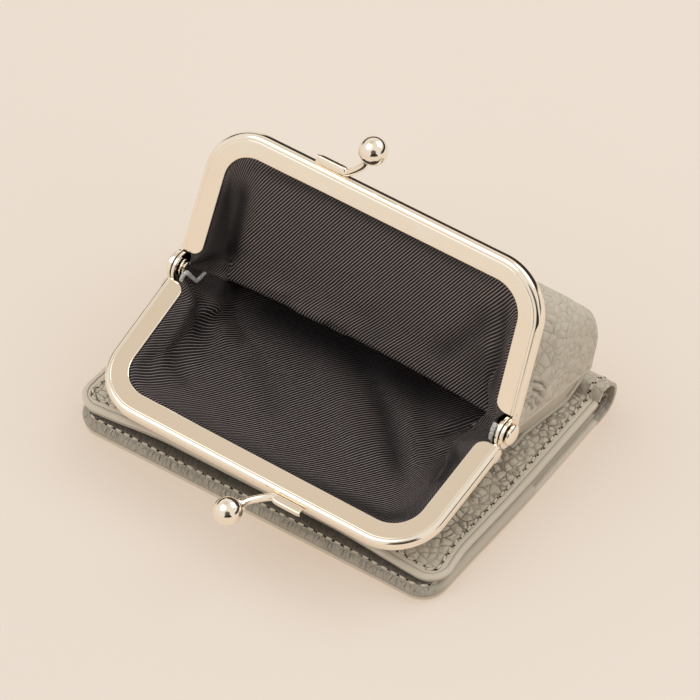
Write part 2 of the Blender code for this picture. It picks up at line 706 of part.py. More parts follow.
def pouch_lining(axis):
    """The cloth bag: a curtain behind the upper jaw that folds back over the lower half."""
    wide = LINING_WIDTH
    floor = HINGE_Z - LINING_DEPTH
    jaw_top = HINGE_Z + JAW_REACH * math.sin(UPPER_LIFT)
    lay = LINING_LAY
    seam = station(POUCH_BACK - 0.0070, HINGE_Z - 0.0108, wide, BASE_CORNER, lay)
    upper = [
        upper_row(TUCK, lay),
        upper_row(HELD_TO, lay),
        upper_row(CHANNEL_LIP, lay),
        station(0.0098, jaw_top - 0.0118, wide, 0.0085, lay),
        station(0.0080, jaw_top - 0.0198, wide, 0.0070, lay),
        station(0.0062, HINGE_Z + 0.0128, wide, 0.0045, lay),
        station(0.0050, HINGE_Z + 0.0056, wide, 0.0030, lay),
        station(0.0040, HINGE_Z + 0.0002, wide, 0.0010, lay),
        station(0.0044, HINGE_Z - 0.0022, wide, 0.0010, lay),
        station(0.0085, HINGE_Z - 0.0036, wide, 0.0020, lay),
        station(0.0190, HINGE_Z - 0.0067, wide, 0.0030, lay),
        seam,
    ]
    sheet('purse_upper_lining', upper, LINING_CLOTH, 'lining_cloth', axis)
    lower = [
        moved(seam, 0.0, -2 * SEAT - LINING_CLOTH / 2),
        station(POUCH_BACK - 0.0074, HINGE_Z - 0.0128, wide, BASE_CORNER, lay),
        station(POUCH_BACK - 0.0100, floor - 0.0014, wide, BASE_CORNER, lay),
        station(POUCH_BACK - 0.0260, floor - 0.0006, wide, 0.0035, lay),
        station(HINGE_Y, floor, wide, 0.0030, lay),
        station(HINGE_Y - 0.0140, floor, wide, 0.0035, lay),
        station(-POUCH_FRONT + 0.0045, floor + 0.0002, wide, 0.0050, lay),
        station(-POUCH_FRONT - 0.0035, floor + 0.0016, wide, 0.0060, lay),
        lower_row(CHANNEL_LIP, lay),
        lower_row(HELD_TO, lay),
        lower_row(TUCK, lay),
    ]
    sheet('purse_lower_lining', lower, LINING_CLOTH, 'lining_cloth', axis)


def base_welt(axis):
    """The smooth turned edge that runs round the sides and back of the pouch's base."""
    clear = POUCH_LEATHER / 2 + WELT_RADIUS + 2 * SEAT
    side = POUCH_BASE_WIDTH / 2 + clear
    back = POUCH_BACK - BASE_SETBACK + clear
    level = COVER_TOP + SEAT + WELT_RADIUS
    span = RAMP_END - RAMP_START
    ramp_steps = 3
    right = [(side, HINGE_Y + 0.0020)]
    right += [(side, RAMP_START + span * i / ramp_steps) for i in range(ramp_steps + 1)]
    right += arc(WELT_CORNER, 0, math.pi / 2, 4, (side - WELT_CORNER, back - WELT_CORNER))
    outline = right + [(-x, y) for x, y in right[::-1]]
    points = []
    for x, y in outline:
        share = min(max((y - RAMP_START) / span, 0.0), 1.0)
        points.append((x + PURSE_SHIFT, y, level + SPINE_BULGE * share * share * (3 - 2 * share)))
    place_on('purse_base_welt', rod(points, WELT_RADIUS, 1), 'grained_leather', axis)


clear_scene()
parts = make_collection('leather_wallet')
guides = make_collection('cutters')
finishes = {name: make_finish(name) for name in FINISHES}

fold_axis = axis_empty('wallet_fold_axis', Matrix.Translation((0, FOLD_Y, FOLD_Z)))
upper_axis = axis_empty('upper_jaw_axis', UPPER_FRAME, fold_axis)
lower_axis = axis_empty('lower_jaw_axis', LOWER_FRAME, fold_axis)

back_leaf()
front_leaf(fold_axis)
spine()

outer_lug = FRAME_WIDTH / 2 - LUG_INSET
inner_lug = outer_lug - LUG_SHEET - SEAT
jaw('upper_jaw', upper_axis, outer_lug, inner=False)
jaw('lower_jaw', lower_axis, inner_lug, inner=True)
jaw_cord('upper_jaw_cord', upper_axis)
jaw_cord('lower_jaw_cord', lower_axis)
clasp('upper', upper_axis, UPPER_STEM_END)
clasp('lower', lower_axis, LOWER_STEM_END)
hinge_hardware(lower_axis, inner_lug - LUG_SHEET)

pouch_leather(fold_axis)
pouch_lining(fold_axis)
base_welt(fold_axis)
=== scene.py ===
import json
import math

import bmesh
import bpy
import numpy as np
from mathutils import Matrix, Vector


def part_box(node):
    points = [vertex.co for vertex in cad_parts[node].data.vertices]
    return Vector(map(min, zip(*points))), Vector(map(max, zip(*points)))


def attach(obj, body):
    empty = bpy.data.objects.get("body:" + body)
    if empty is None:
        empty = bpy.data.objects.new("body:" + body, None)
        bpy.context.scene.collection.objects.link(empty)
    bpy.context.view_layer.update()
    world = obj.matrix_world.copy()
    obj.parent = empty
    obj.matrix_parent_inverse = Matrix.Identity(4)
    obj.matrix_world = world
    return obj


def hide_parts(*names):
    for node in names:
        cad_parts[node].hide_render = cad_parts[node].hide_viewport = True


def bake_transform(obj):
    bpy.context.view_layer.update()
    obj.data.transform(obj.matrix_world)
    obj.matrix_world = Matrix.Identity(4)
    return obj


# Dressing for the folded leather wallet and its kiss-lock purse.
# Sizes are metres; mm turns millimetres into them. X runs along the spine, Y towards it, Z up.
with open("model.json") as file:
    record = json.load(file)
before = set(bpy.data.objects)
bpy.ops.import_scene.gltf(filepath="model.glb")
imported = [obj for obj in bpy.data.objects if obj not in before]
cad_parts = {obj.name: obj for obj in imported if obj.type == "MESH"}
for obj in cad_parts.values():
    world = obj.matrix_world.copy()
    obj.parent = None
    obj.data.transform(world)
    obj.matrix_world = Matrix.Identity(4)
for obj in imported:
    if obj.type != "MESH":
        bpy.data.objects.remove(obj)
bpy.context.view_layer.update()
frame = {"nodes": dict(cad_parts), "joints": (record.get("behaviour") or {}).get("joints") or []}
mm = 0.001
hinge = Vector(next(j["pos_m"] for j in frame["joints"] if j["name"] == "purse_hinge"))
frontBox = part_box("front_cover")
leafHalf = frontBox[1].x
leafFront = frontBox[0].y
leafBack = frontBox[1].y
coverTop = frontBox[1].z
print("frame loaded, cover top at %.1f mm" % (coverTop / mm))


def millimetres(**sizes):
    return {name: size * mm for name, size in sizes.items()}


# Camera: the photo's own view
camera = dict(azimuth=34.44, elevation=47.74, roll=0.21, distance=1.2224, focal=4796.4, pixels=700,
              target=(1.0 * mm, -4.98 * mm, 30.23 * mm), **millimetres(aside=2.42, raised=-0.74))


def cameraAxes():
    a = math.radians(camera["azimuth"])
    e = math.radians(camera["elevation"])
    r = math.radians(camera["roll"])
    right = Vector((math.cos(a), math.sin(a), 0))
    back = Vector((math.sin(a) * math.cos(e), -math.cos(a) * math.cos(e), math.sin(e)))
    up = back.cross(right)
    rolledRight = right * math.cos(r) + up * math.sin(r)
    rolledUp = up * math.cos(r) - right * math.sin(r)
    place = (back * camera["distance"] + rolledRight * camera["aside"] + rolledUp * camera["raised"]
             + Vector(camera["target"]))
    return rolledRight, rolledUp, back, place


def makeCamera():
    right, up, back, place = cameraAxes()
    data = bpy.data.cameras.new("photoCamera")
    data.sensor_width = 36
    data.sensor_fit = 'HORIZONTAL'
    data.lens = 36 * camera["focal"] / camera["pixels"]
    data.clip_start = 0.05
    data.clip_end = 30
    obj = bpy.data.objects.new("photoCamera", data)
    obj.matrix_world = Matrix(((right.x, up.x, back.x, place.x), (right.y, up.y, back.y, place.y),
                               (right.z, up.z, back.z, place.z), (0, 0, 0, 1)))
    bpy.context.scene.collection.objects.link(obj)
    bpy.context.scene.camera = obj


def photoSpots(points):
    # where points of the object fall in the photo, in its 700 x 700 pixels
    right, up, back, place = (np.array(v) for v in cameraAxes())
    away = np.asarray(points) - place
    depth = -(away @ back)
    across = camera["pixels"] / 2 + camera["focal"] * (away @ right) / depth
    down = camera["pixels"] / 2 - camera["focal"] * (away @ up) / depth
    return np.stack([across, down], -1)


# Mesh tools
def smoothStep(x, low=0.0, high=1.0):
    t = np.clip((np.asarray(x, float) - low) / (high - low), 0, 1)
    return t * t * (3 - 2 * t)


def lengthsAlong(path):
    return np.concatenate([[0], np.cumsum(np.linalg.norm(np.diff(path, axis=0), axis=1))])


def sideways(line):
    # unit directions square to a flat line
    ahead = np.gradient(line, axis=0)
    ahead /= np.linalg.norm(ahead, axis=1, keepdims=True)
    return np.stack([-ahead[:, 1], ahead[:, 0]], -1)


def gridFaces(rows, cols, start=0, flip=False, closed=False):
    faces = []
    for i in range(rows - 1):
        for j in range(cols if closed else cols - 1):
            k = (j + 1) % cols
            a, b = start + i * cols + j, start + i * cols + k
            c, d = b + cols, a + cols
            faces.append((a, d, c, b) if flip else (a, b, c, d))
    return faces


def gridNormals(grid):
    along = np.gradient(grid, axis=1)
    across = np.gradient(grid, axis=0)
    normals = np.cross(along, across)
    return normals / np.maximum(np.linalg.norm(normals, axis=2, keepdims=True), 1e-12)


def meshObject(name, points, faces, material, sharp=None, uv=None, shares=None):
    mesh = bpy.data.meshes.new(name)
    mesh.from_pydata([tuple(p) for p in points], [], faces)
    bm = bmesh.new()
    bm.from_mesh(mesh)
    bmesh.ops.recalc_face_normals(bm, faces=bm.faces)
    bm.to_mesh(mesh)
    bm.free()
    if uv is not None:
        layer = mesh.uv_layers.new(name="cloth")
        corner = np.zeros(len(mesh.loops), np.int64)
        mesh.loops.foreach_get("vertex_index", corner)
        layer.data.foreach_set("uv", np.asarray(uv, np.float32)[corner].ravel())
    for key, values in (shares or {}).items():
        attribute = mesh.attributes.new(key, 'FLOAT', 'POINT')
        attribute.data.foreach_set("value", np.asarray(values, np.float32).ravel())
    mesh.materials.append(material)
    mesh.shade_smooth()
    if sharp is not None:
        mesh.set_sharp_from_angle(angle=math.radians(sharp))
    obj = bpy.data.objects.new(name, mesh)
    bpy.context.scene.collection.objects.link(obj)
    return obj


def shell(name, grid, thickness, material, uv=None, shares=None, sharp=60):
    # a sheet with two faces and its edges closed
    rows, cols = grid.shape[:2]
    normals = gridNormals(grid)
    points = np.concatenate([(grid + normals * thickness / 2).reshape(-1, 3),
                             (grid - normals * thickness / 2).reshape(-1, 3)])
    count = rows * cols
    faces = gridFaces(rows, cols) + gridFaces(rows, cols, count, flip=True)
    rim = [j for j in range(cols)] + [i * cols + cols - 1 for i in range(1, rows)]
    rim += [(rows - 1) * cols + j for j in range(cols - 2, -1, -1)]
    rim += [i * cols for i in range(rows - 2, 0, -1)]
    for a, b in zip(rim, rim[1:] + rim[:1]):
        faces.append((b, a, a + count, b + count))
    if uv is not None:
        uv = np.concatenate([uv.reshape(-1, 2)] * 2)
    shares = {k: np.concatenate([v.ravel()] * 2) for k, v in (shares or {}).items()}
    return meshObject(name, points, faces, material, sharp, uv, shares)


def smoothRows(rows, steps):
    # smooth rows of points through the given rows, spaced by how far apart the rows lie
    rows = np.asarray(rows, float)
    gaps = np.sqrt(np.maximum(np.linalg.norm(np.diff(rows, axis=0), axis=2).mean(axis=1), 1e-7))
    knots = np.concatenate([[0], np.cumsum(gaps)])
    slopes = np.zeros_like(rows)
    for i in range(len(rows)):
        a, b = max(i - 1, 0), min(i + 1, len(rows) - 1)
        slopes[i] = (rows[b] - rows[a]) / (knots[b] - knots[a])
    out = []
    for i in range(len(rows) - 1):
        span = knots[i + 1] - knots[i]
        for k in range(steps):
            t = k / steps
            out.append((2 * t ** 3 - 3 * t ** 2 + 1) * rows[i] + (t ** 3 - 2 * t ** 2 + t) * span * slopes[i]
                       + (3 * t ** 2 - 2 * t ** 3) * rows[i + 1] + (t ** 3 - t ** 2) * span * slopes[i + 1])
    out.append(rows[-1])
    return np.array(out)


def arcPoints(radius, start, end, steps, centre=(0.0, 0.0)):
    turns = [start + (end - start) * i / steps for i in range(steps + 1)]
    return [(centre[0] + radius * math.cos(a), centre[1] + radius * math.sin(a)) for a in turns]


def arcLengths(grid, axis):
    steps = np.linalg.norm(np.diff(grid, axis=axis), axis=2)
    pad = [(0, 0), (0, 0)]
    pad[axis] = (1, 0)
    return np.pad(np.cumsum(steps, axis=axis), pad)


def tubeMesh(rings):
    # a tube through rings of points, closed at both ends
    count = len(rings[0])
    points = [p for ring in rings for p in ring]
    faces = gridFaces(len(rings), count, closed=True)
    faces += [tuple(range(count)), tuple(range(len(points) - count, len(points)))[::-1]]
    return points, faces


def sweep(path, section):
    # rings of section(i) points, as (aside, up) pairs, carried along a path without twisting
    path = [Vector(p) for p in path]
    side = None
    rings = []
    for i, p in enumerate(path):
        ahead = (path[min(i + 1, len(path) - 1)] - path[max(i - 1, 0)]).normalized()
        if side is None:
            side = ahead.cross(Vector((0, 0, 1)))
            if side.length < 0.1:
                side = ahead.cross(Vector((0, 1, 0)))
        side = (side - ahead * side.dot(ahead)).normalized()
        up = side.cross(ahead)
        rings.append([p + side * a + up * b for a, b in section(i)])
    return tubeMesh(rings)


def curvePath(points, steps):
    # a smooth path through a few points
    return [Vector(p[0]) for p in smoothRows([[tuple(p)] for p in points], steps)]


def turnedMesh(profile, steps=64):
    # a profile of (radius, height) points turned about Z, closed at its poles
    points = []
    faces = []
    rings = []
    for radius, height in profile:
        if radius < 1e-7:
            rings.append([len(points)])
            points.append(Vector((0, 0, height)))
        else:
            rings.append(list(range(len(points), len(points) + steps)))
            points += [Vector((radius * math.cos(2 * math.pi * k / steps),
                               radius * math.sin(2 * math.pi * k / steps), height)) for k in range(steps)]
    for low, high in zip(rings, rings[1:]):
        for k in range(steps):
            m = (k + 1) % steps
            if len(low) == 1:
                faces.append((low[0], high[k], high[m]))
            elif len(high) == 1:
                faces.append((low[k], low[m], high[0]))
            else:
                faces.append((low[k], low[m], high[m], high[k]))
    return points, faces


def placed(points, matrix):
    return [matrix @ Vector(p) for p in points]


def dress(piece, body, slot, *nodes):
    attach(piece, body)
    if nodes:
        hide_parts(*nodes)


# Materials
def feed(tree, sockets, **values):
    # links what comes from other nodes and sets plain values; i0 is the first socket
    for label, value in values.items():
        numbered = label[0] == "i" and label[1:].isdigit()
        socket = sockets[int(label[1:]) if numbered else label.replace("_", " ")]
        if isinstance(value, bpy.types.NodeSocket):
            tree.links.new(value, socket)
        else:
            socket.default_value = value


def newMaterial(name, **constants):
    material = bpy.data.materials.new(name)
    material.use_nodes = True
    tree = material.node_tree
    shader = tree.nodes["Principled BSDF"]
    feed(tree, shader.inputs, **constants)
    return material, tree, shader


def addNode(tree, kind, settings=None, **inputs):
    node = tree.nodes.new(kind)
    for key, value in (settings or {}).items():
        setattr(node, key, value)
    feed(tree, node.inputs, **inputs)
    return node


def maths(tree, operation, a, b=0.0, c=0.0, clamp=False):
    settings = dict(operation=operation, use_clamp=clamp)
    return addNode(tree, 'ShaderNodeMath', settings, i0=a, i1=b, i2=c).outputs[0]


def times(tree, a, b):
    return maths(tree, 'MULTIPLY', a, b)


def vectorMaths(tree, operation, a, **inputs):
    return addNode(tree, 'ShaderNodeVectorMath', dict(operation=operation), i0=a, **inputs).outputs[0]


def noise(tree, place, scale, detail, **inputs):
    return addNode(tree, 'ShaderNodeTexNoise', Vector=place, Scale=scale, Detail=detail, **inputs).outputs[0]


def ramped(tree, value, low, high, toLow=0.0, toHigh=1.0):
    return addNode(tree, 'ShaderNodeMapRange', dict(interpolation_type='SMOOTHSTEP'), i0=value, i1=low,
                   i2=high, i3=toLow, i4=toHigh).outputs[0]


def blendColour(tree, share, a, b):
    return addNode(tree, 'ShaderNodeMix', dict(data_type='RGBA'), i0=share, i6=a, i7=b).outputs[2]


def newGroup(name, inputs, outputs):
    # inputs by label with their first values; a place has none
    group = bpy.data.node_groups.new(name, 'ShaderNodeTree')
    for label, value in inputs.items():
        kind = 'NodeSocketVector' if value is None else 'NodeSocketFloat'
        socket = group.interface.new_socket(label, in_out='INPUT', socket_type=kind)
        if value is not None:
            socket.default_value = value
    for label in outputs:
        group.interface.new_socket(label, in_out='OUTPUT', socket_type='NodeSocketFloat')
    return group, group.nodes.new('NodeGroupInput').outputs, group.nodes.new('NodeGroupOutput').inputs


def makeGrainGroup():
    # pebbled hide: soft cells of uneven size with thin creases between them
    group, given, result = newGroup("pebbleGrain", {"Place": None, "Cell": 0.002, "Warp": 0.6,
                                                    "Crease Width": 0.10}, ("Height", "Crease"))
    scaled = vectorMaths(group, 'SCALE', given["Place"], Scale=maths(group, 'DIVIDE', 1.0, given["Cell"]))

    def wandering(vector, size, amount):
        wander = addNode(group, 'ShaderNodeTexNoise', Vector=vector, Scale=size, Detail=2.0)
        centred = vectorMaths(group, 'SUBTRACT', wander.outputs["Color"], i1=(0.5, 0.5, 0.5))
        return vectorMaths(group, 'ADD', vector, i1=vectorMaths(group, 'SCALE', centred, Scale=amount))

    def cells(feature, size, **inputs):
        return addNode(group, 'ShaderNodeTexVoronoi', dict(feature=feature), Vector=moved, Scale=size,
                       **inputs).outputs["Distance"]

    moved = wandering(wandering(scaled, 0.55, given["Warp"]), 2.6, 0.22)
    depth = ramped(group, noise(group, scaled, 0.45, 3.0), 0.34, 0.66, 0.45, 1.0)
    bigCrease = ramped(group, cells('DISTANCE_TO_EDGE', 1.0), 0.0, given["Crease Width"], 1.0, 0.0)
    smallCrease = ramped(group, cells('DISTANCE_TO_EDGE', 2.1), 0.0, 0.07, 1.0, 0.0)
    dome = ramped(group, cells('SMOOTH_F1', 1.0, Smoothness=0.35), 0.05, 0.75, 1.0, 0.0)
    fine = times(group, smallCrease, times(group, depth, 0.25))
    crease = maths(group, 'MAXIMUM', times(group, bigCrease, depth), fine)
    height = maths(group, 'SUBTRACT', dome, times(group, crease, 0.35))
    feed(group, result, Height=height, Crease=crease)
    return group


def makeRibGroup():
    # ribs of a twill across a turned direction of the cloth's coordinates, threads along each
    group, given, result = newGroup("ribbedWeave", {"Place": None, "Pitch": 0.001, "Turn": 0.0,
                                                    "Unevenness": 0.25, "Crest Start": 0.15},
                                    ("Height", "Crest", "Thread"))
    turned = addNode(group, 'ShaderNodeVectorRotate', dict(rotation_type='Z_AXIS'), Vector=given["Place"],
                     Angle=given["Turn"])
    scaled = vectorMaths(group, 'SCALE', turned.outputs[0], Scale=maths(group, 'DIVIDE', 1.0, given["Pitch"]))
    x, y = addNode(group, 'ShaderNodeSeparateXYZ', Vector=scaled).outputs[:2]
    wander = maths(group, 'SUBTRACT', noise(group, scaled, 0.18, 3.0), 0.5)
    drift = times(group, wander, given["Unevenness"])
    across = times(group, maths(group, 'ADD', y, drift), 2 * math.pi)
    wave = maths(group, 'MULTIPLY_ADD', maths(group, 'SINE', across), 0.5, 0.5)
    crest = ramped(group, wave, given["Crest Start"], 1.0)
    along = times(group, maths(group, 'ADD', x, times(group, y, 0.5)),
                  2 * math.pi * 3.2)
    thread = maths(group, 'MULTIPLY_ADD', maths(group, 'SINE', along), 0.5, 0.5)
    height = maths(group, 'MULTIPLY_ADD', times(group, thread, crest), 0.18, crest)
    feed(group, result, Height=height, Crest=crest, Thread=thread)
    return group


def makeWearGroup():
    # slow changes of tone and faint marks from handling
    group, given, result = newGroup("handling", {"Place": None, "Spread": 0.02}, ("Tone", "Scuff"))
    scale = maths(group, 'DIVIDE', 1.0, given["Spread"])
    broad = noise(group, given["Place"], scale, 3.0)
    fine = noise(group, given["Place"], times(group, scale, 22.0), 4.0, Roughness=0.7)
    feed(group, result, Tone=broad, Scuff=ramped(group, fine, 0.55, 0.75))
    return group


def groupNode(tree, group, **inputs):
    return addNode(tree, 'ShaderNodeGroup', dict(node_tree=group), **inputs).outputs


def objectPlace(tree, scale=(1, 1, 1)):
    coordinates = tree.nodes.new('ShaderNodeTexCoord').outputs["Object"]
    return addNode(tree, 'ShaderNodeMapping', Vector=coordinates, Scale=scale).outputs[0]


def attributeValue(tree, name):
    node = tree.nodes.new('ShaderNodeAttribute')
    node.attribute_name = name
    return node.outputs["Fac"]


def finished(tree, shader, colour, rough, **relief):
    bump = addNode(tree, 'ShaderNodeBump', **relief)
    feed(tree, shader.inputs, Base_Color=colour, Roughness=rough, Normal=bump.outputs[0])


# dark tone that the leather's creases and its painted shade are blended towards
leatherDark = (0.20, 0.175, 0.14)
leatherRoughness = 0.52


def dimmed(colour, share):
    return tuple(share * c for c in colour[:3]) + (1,)


def makeLeather(name, light, cell, grainDepth, stretch=(1, 1, 1), warp=0.6, plain=0.0, creaseShare=0.70,
                creaseWidth=0.085):
    # attributes: plain takes the grain away, shade is painted shade that darkens folds, gaps, recesses and
    # stitch channels
    material, tree, shader = newMaterial(name, Specular_IOR_Level=0.42)
    place = objectPlace(tree, stretch)
    grain = groupNode(tree, grainGroup, Place=place, Cell=cell, Warp=warp, Crease_Width=creaseWidth)
    wear = groupNode(tree, wearGroup, Place=place, Spread=0.018)
    smooth = maths(tree, 'ADD', attributeValue(tree, "plain"), plain, clamp=True)
    share = maths(tree, 'SUBTRACT', 1.0, smooth, clamp=True)
    crease = times(tree, grain["Crease"], share)
    tone = maths(tree, 'MULTIPLY_ADD', wear["Tone"], 0.7, -0.08)
    colour = blendColour(tree, tone, light, dimmed(light, 0.80))
    # creases painted darker: partly the hide's own darker creases, partly painted shade in them
    inCrease = times(tree, crease, creaseShare)
    colour = blendColour(tree, inCrease, colour, dimmed(leatherDark, 0.6))
    # painted shade from the shade attribute
    colour = blendColour(tree, attributeValue(tree, "shade"), colour, dimmed(leatherDark, 0.35))
    rough = maths(tree, 'MULTIPLY_ADD', wear["Scuff"], 0.10, leatherRoughness)
    rough = maths(tree, 'MULTIPLY_ADD', crease, 0.15, rough, clamp=True)
    height = times(tree, grain["Height"], maths(tree, 'MULTIPLY_ADD', share, 0.94, 0.06))
    height = maths(tree, 'MULTIPLY_ADD', noise(tree, place, 3800.0, 2.0), 0.05, height)
    finished(tree, shader, colour, rough, Strength=0.9, Distance=grainDepth, Height=height)
    return material


ribTurn = math.radians(58)


def makeRibbed(name, litCrestColour, crestStart, pitch):
    material, tree, shader = newMaterial(name, Specular_IOR_Level=0.35, Sheen_Weight=0.07,
                                         Sheen_Roughness=0.45, Sheen_Tint=(0.75, 0.68, 0.68, 1))
    # the bright crests are painted highlight, and the near-black valleys and the thread ripple are painted
    # shade
    shadedValleyColour = (0.004, 0.003, 0.003, 1)
    paintedShadeColour = (0.004, 0.004, 0.005, 1)
    wornColour = (0.02, 0.016, 0.016, 1)
    coordinates = addNode(tree, 'ShaderNodeUVMap', dict(uv_map="cloth"))
    rib = groupNode(tree, ribGroup, Place=coordinates.outputs[0], Pitch=pitch, Turn=ribTurn,
                    Crest_Start=crestStart)
    wear = groupNode(tree, wearGroup, Place=objectPlace(tree), Spread=0.03)
    colour = blendColour(tree, rib["Crest"], shadedValleyColour, litCrestColour)
    colour = blendColour(tree, times(tree, rib["Thread"], 0.25), colour, shadedValleyColour)
    colour = blendColour(tree, times(tree, wear["Tone"], 0.30), colour, wornColour)
    # painted shade from the shade attribute, at folds, along the lips and under the curtain
    colour = blendColour(tree, attributeValue(tree, "shade"), colour, paintedShadeColour)
    rough = maths(tree, 'MULTIPLY_ADD', rib["Crest"], -0.16, 0.62)
    finished(tree, shader, colour, rough, Strength=1.0, Distance=pitch * 0.32, Height=rib["Height"])
    return material


def makeGilt():
    material, tree, shader = newMaterial("champagneGilt", Metallic=1.0)
    place = objectPlace(tree)
    wear = groupNode(tree, wearGroup, Place=place, Spread=0.012)
    colour = blendColour(tree, wear["Tone"], (0.97, 0.895, 0.775, 1), (0.945, 0.865, 0.745, 1))
    scratches = noise(tree, objectPlace(tree, (900, 900, 9000)), 1.0, 2.0)
    rough = maths(tree, 'MULTIPLY_ADD', wear["Scuff"], 0.02, 0.07)
    rough = maths(tree, 'MULTIPLY_ADD', scratches, 0.03, rough)
    ripple = noise(tree, place, 110.0, 1.0)
    finished(tree, shader, colour, rough, Strength=0.10, Distance=0.00020, Height=ripple)
    return material


def makeFibre(name, light, dark, scale, roughness=0.8, depth=0.0001):
    # thread, paper cord and board: noisy fibres; also the painted shade of the needle holes
    material, tree, shader = newMaterial(name)
    place = objectPlace(tree)
    fibres = noise(tree, place, scale, 4.0, Roughness=0.65)
    wear = groupNode(tree, wearGroup, Place=place, Spread=0.006)
    colour = blendColour(tree, ramped(tree, fibres, 0.35, 0.68), dark, light)
    colour = blendColour(tree, times(tree, wear["Tone"], 0.25), colour, dark)
    rough = maths(tree, 'MULTIPLY_ADD', wear["Scuff"], 0.12, roughness, clamp=True)
    finished(tree, shader, colour, rough, Strength=0.8, Distance=depth, Height=fibres)
    return material


grainGroup = makeGrainGroup()
ribGroup = makeRibGroup()
wearGroup = makeWearGroup()
greige = (0.60, 0.55, 0.465, 1)
coverLeather = makeLeather("grainedGreige", (0.70, 0.64, 0.54, 1), 0.0024, 0.00075, creaseShare=0.80,
                           creaseWidth=0.13, warp=0.9)
pouchLeather = makeLeather("softGrainedGreige", (0.65, 0.595, 0.505, 1), 0.0026, 0.00045, warp=0.8,
                           creaseShare=0.28)
noseLeather = makeLeather("wrinkledGreige", greige, 0.0013, 0.00045, stretch=(1.3, 0.55, 0.55),
                          creaseShare=0.85)
bandLeather = makeLeather("smoothGreige", (0.66, 0.60, 0.51, 1), 0.0012, 0.00012, plain=0.75)
innerLeather = makeLeather("innerGreige", (0.57, 0.52, 0.44, 1), 0.0011, 0.00012, plain=0.35)
loopLeather = makeLeather("spineGreige", greige, 0.0021, 0.00030, plain=0.35)
# the leather inside the spine's roll is darkened as painted shade
shadedLoopLining = makeLeather("shadedGreige", (0.38, 0.34, 0.28, 1), 0.0011, 0.00030, plain=0.2)
darkCloth = makeFibre("darkLining", (0.07, 0.06, 0.06, 1), (0.02, 0.017, 0.018, 1), 2400.0, 0.8)
# one cloth for both panels: the crest colours are painted highlight, set apart for each panel
upperCloth = makeRibbed("ribbedLiningBack", (0.48, 0.40, 0.39, 1), 0.45, 0.00072)
lowerCloth = makeRibbed("ribbedLiningFloor", (0.67, 0.56, 0.56, 1), 0.79, 0.00076)
gilt = makeGilt()
threadFibre = makeFibre("greigeThread", (0.90, 0.85, 0.72, 1), (0.62, 0.56, 0.45, 1), 5200.0, 0.6)
paperFibre = makeFibre("greyPaper", (0.88, 0.88, 0.86, 1), (0.36, 0.36, 0.36, 1), 2600.0, 0.9, 0.0002)
boardFibre = makeFibre("stiffenerBoard", (0.58, 0.50, 0.38, 1), (0.40, 0.33, 0.24, 1), 1500.0, 0.9)
# near-black discs at the needle holes: painted shade in the holes
holeShade = makeFibre("needleHoleShade", (0.030, 0.026, 0.020, 1), (0.012, 0.010, 0.008, 1), 2000.0, 0.95)
print("materials made")


# Purse frame in each jaw's own space: X along the hinge, Y out to the rail, Z towards the mouth
jaw = dict(upperLift=65.5, lowerTilt=-12.0, **millimetres(
    width=104, reach=43.5, corner=15, lean=0.9, band=6.4, backBand=5.4, depth=4, sheet=0.6, rim=1.45,
    start=4.6, endRound=3.2, faceGap=0.2, lugRadius=4.2, lugSheet=0.9, lugLength=7.8, lugInset=0.3,
    lugEasing=0.16, neck=1.35, bore=1.28))
seat = 0.3 * mm
upperPlace = Matrix.Translation(hinge) @ Matrix.Rotation(math.radians(jaw["upperLift"]), 4, 'X')
lowerPlace = (Matrix.Translation(hinge) @ Matrix.Rotation(math.pi, 4, 'Z')
              @ Matrix.Rotation(math.radians(jaw["lowerTilt"]), 4, 'X'))


def jawPath(armPlaces, cornerSteps, railSteps):
    # points round a jaw's outer edge with the way in from each
    half = jaw["width"] / 2
    armEnd = jaw["reach"] - jaw["corner"]
    right = [(half - jaw["lean"] * t / armEnd, t, -1.0, 0.0) for t in armPlaces]
    centre = half - jaw["lean"] - jaw["corner"]
    for c, s in arcPoints(1.0, 0, math.pi / 2, cornerSteps):
        right.append((centre + jaw["corner"] * c, armEnd + jaw["corner"] * s, -c, -s))
    rail = [(centre - 2 * centre * i / railSteps, jaw["reach"], 0.0, -1.0) for i in range(1, railSteps)]
    return right + rail + [(-x, t, -nx, nt) for x, t, nx, nt in right[::-1]]


def makeJawChannel():
    j = jaw
    inner = j["band"]
    top = j["depth"]

    def face(start, places):
        # points in from a place on the flat face and down from it, in millimetres
        return [(start + a * mm, top - b * mm) for a, b in places]

    rim = arcPoints(j["rim"], math.pi / 2, math.pi, 12, (j["rim"], top - j["rim"]))
    heel = arcPoints(j["rim"], math.pi, 1.5 * math.pi, 12, (j["rim"], j["rim"]))
    lip = face(inner, [(-0.30, 0.02), (-0.38, 0), (-0.8, 0)])
    crease = face(j["rim"], [(0.75, 0), (0.35, 0), (0.28, 0.01), (0.20, 0.07), (0.12, 0.03)])
    outside = lip + crease + rim + heel + [(j["rim"] + 0.4 * mm, 0.0), (j["backBand"], 0.0)]
    ceiling = top - j["sheet"]
    inside = [(j["backBand"], j["sheet"]), (j["sheet"], j["sheet"]), (j["sheet"], ceiling),
              (inner - 0.05 * mm, ceiling), (inner, ceiling + 0.08 * mm)]
    section = outside + inside + face(inner, [(0, 0.26), (-0.05, 0.15), (-0.14, 0.07)])
    turns = 10
    starts = [j["start"] + j["endRound"] * (1 - math.cos(math.pi / 2 * i / turns)) for i in range(turns + 1)]
    armEnd = j["reach"] - j["corner"]
    starts += [starts[-1] + (armEnd - starts[-1]) * i / 6 for i in range(1, 6)]
    rings = []
    for x, t, nx, nt in jawPath(starts, 28, 20):
        short = max(j["start"] + j["endRound"] - t, 0.0)
        band = inner - j["endRound"] + math.sqrt(max(j["endRound"] ** 2 - short ** 2, 0.0))
        rings.append([Vector((x + nx * min(d, band), t + nt * min(d, band), h - j["depth"] - j["faceGap"]))
                      for d, h in section])
    return tubeMesh(rings)


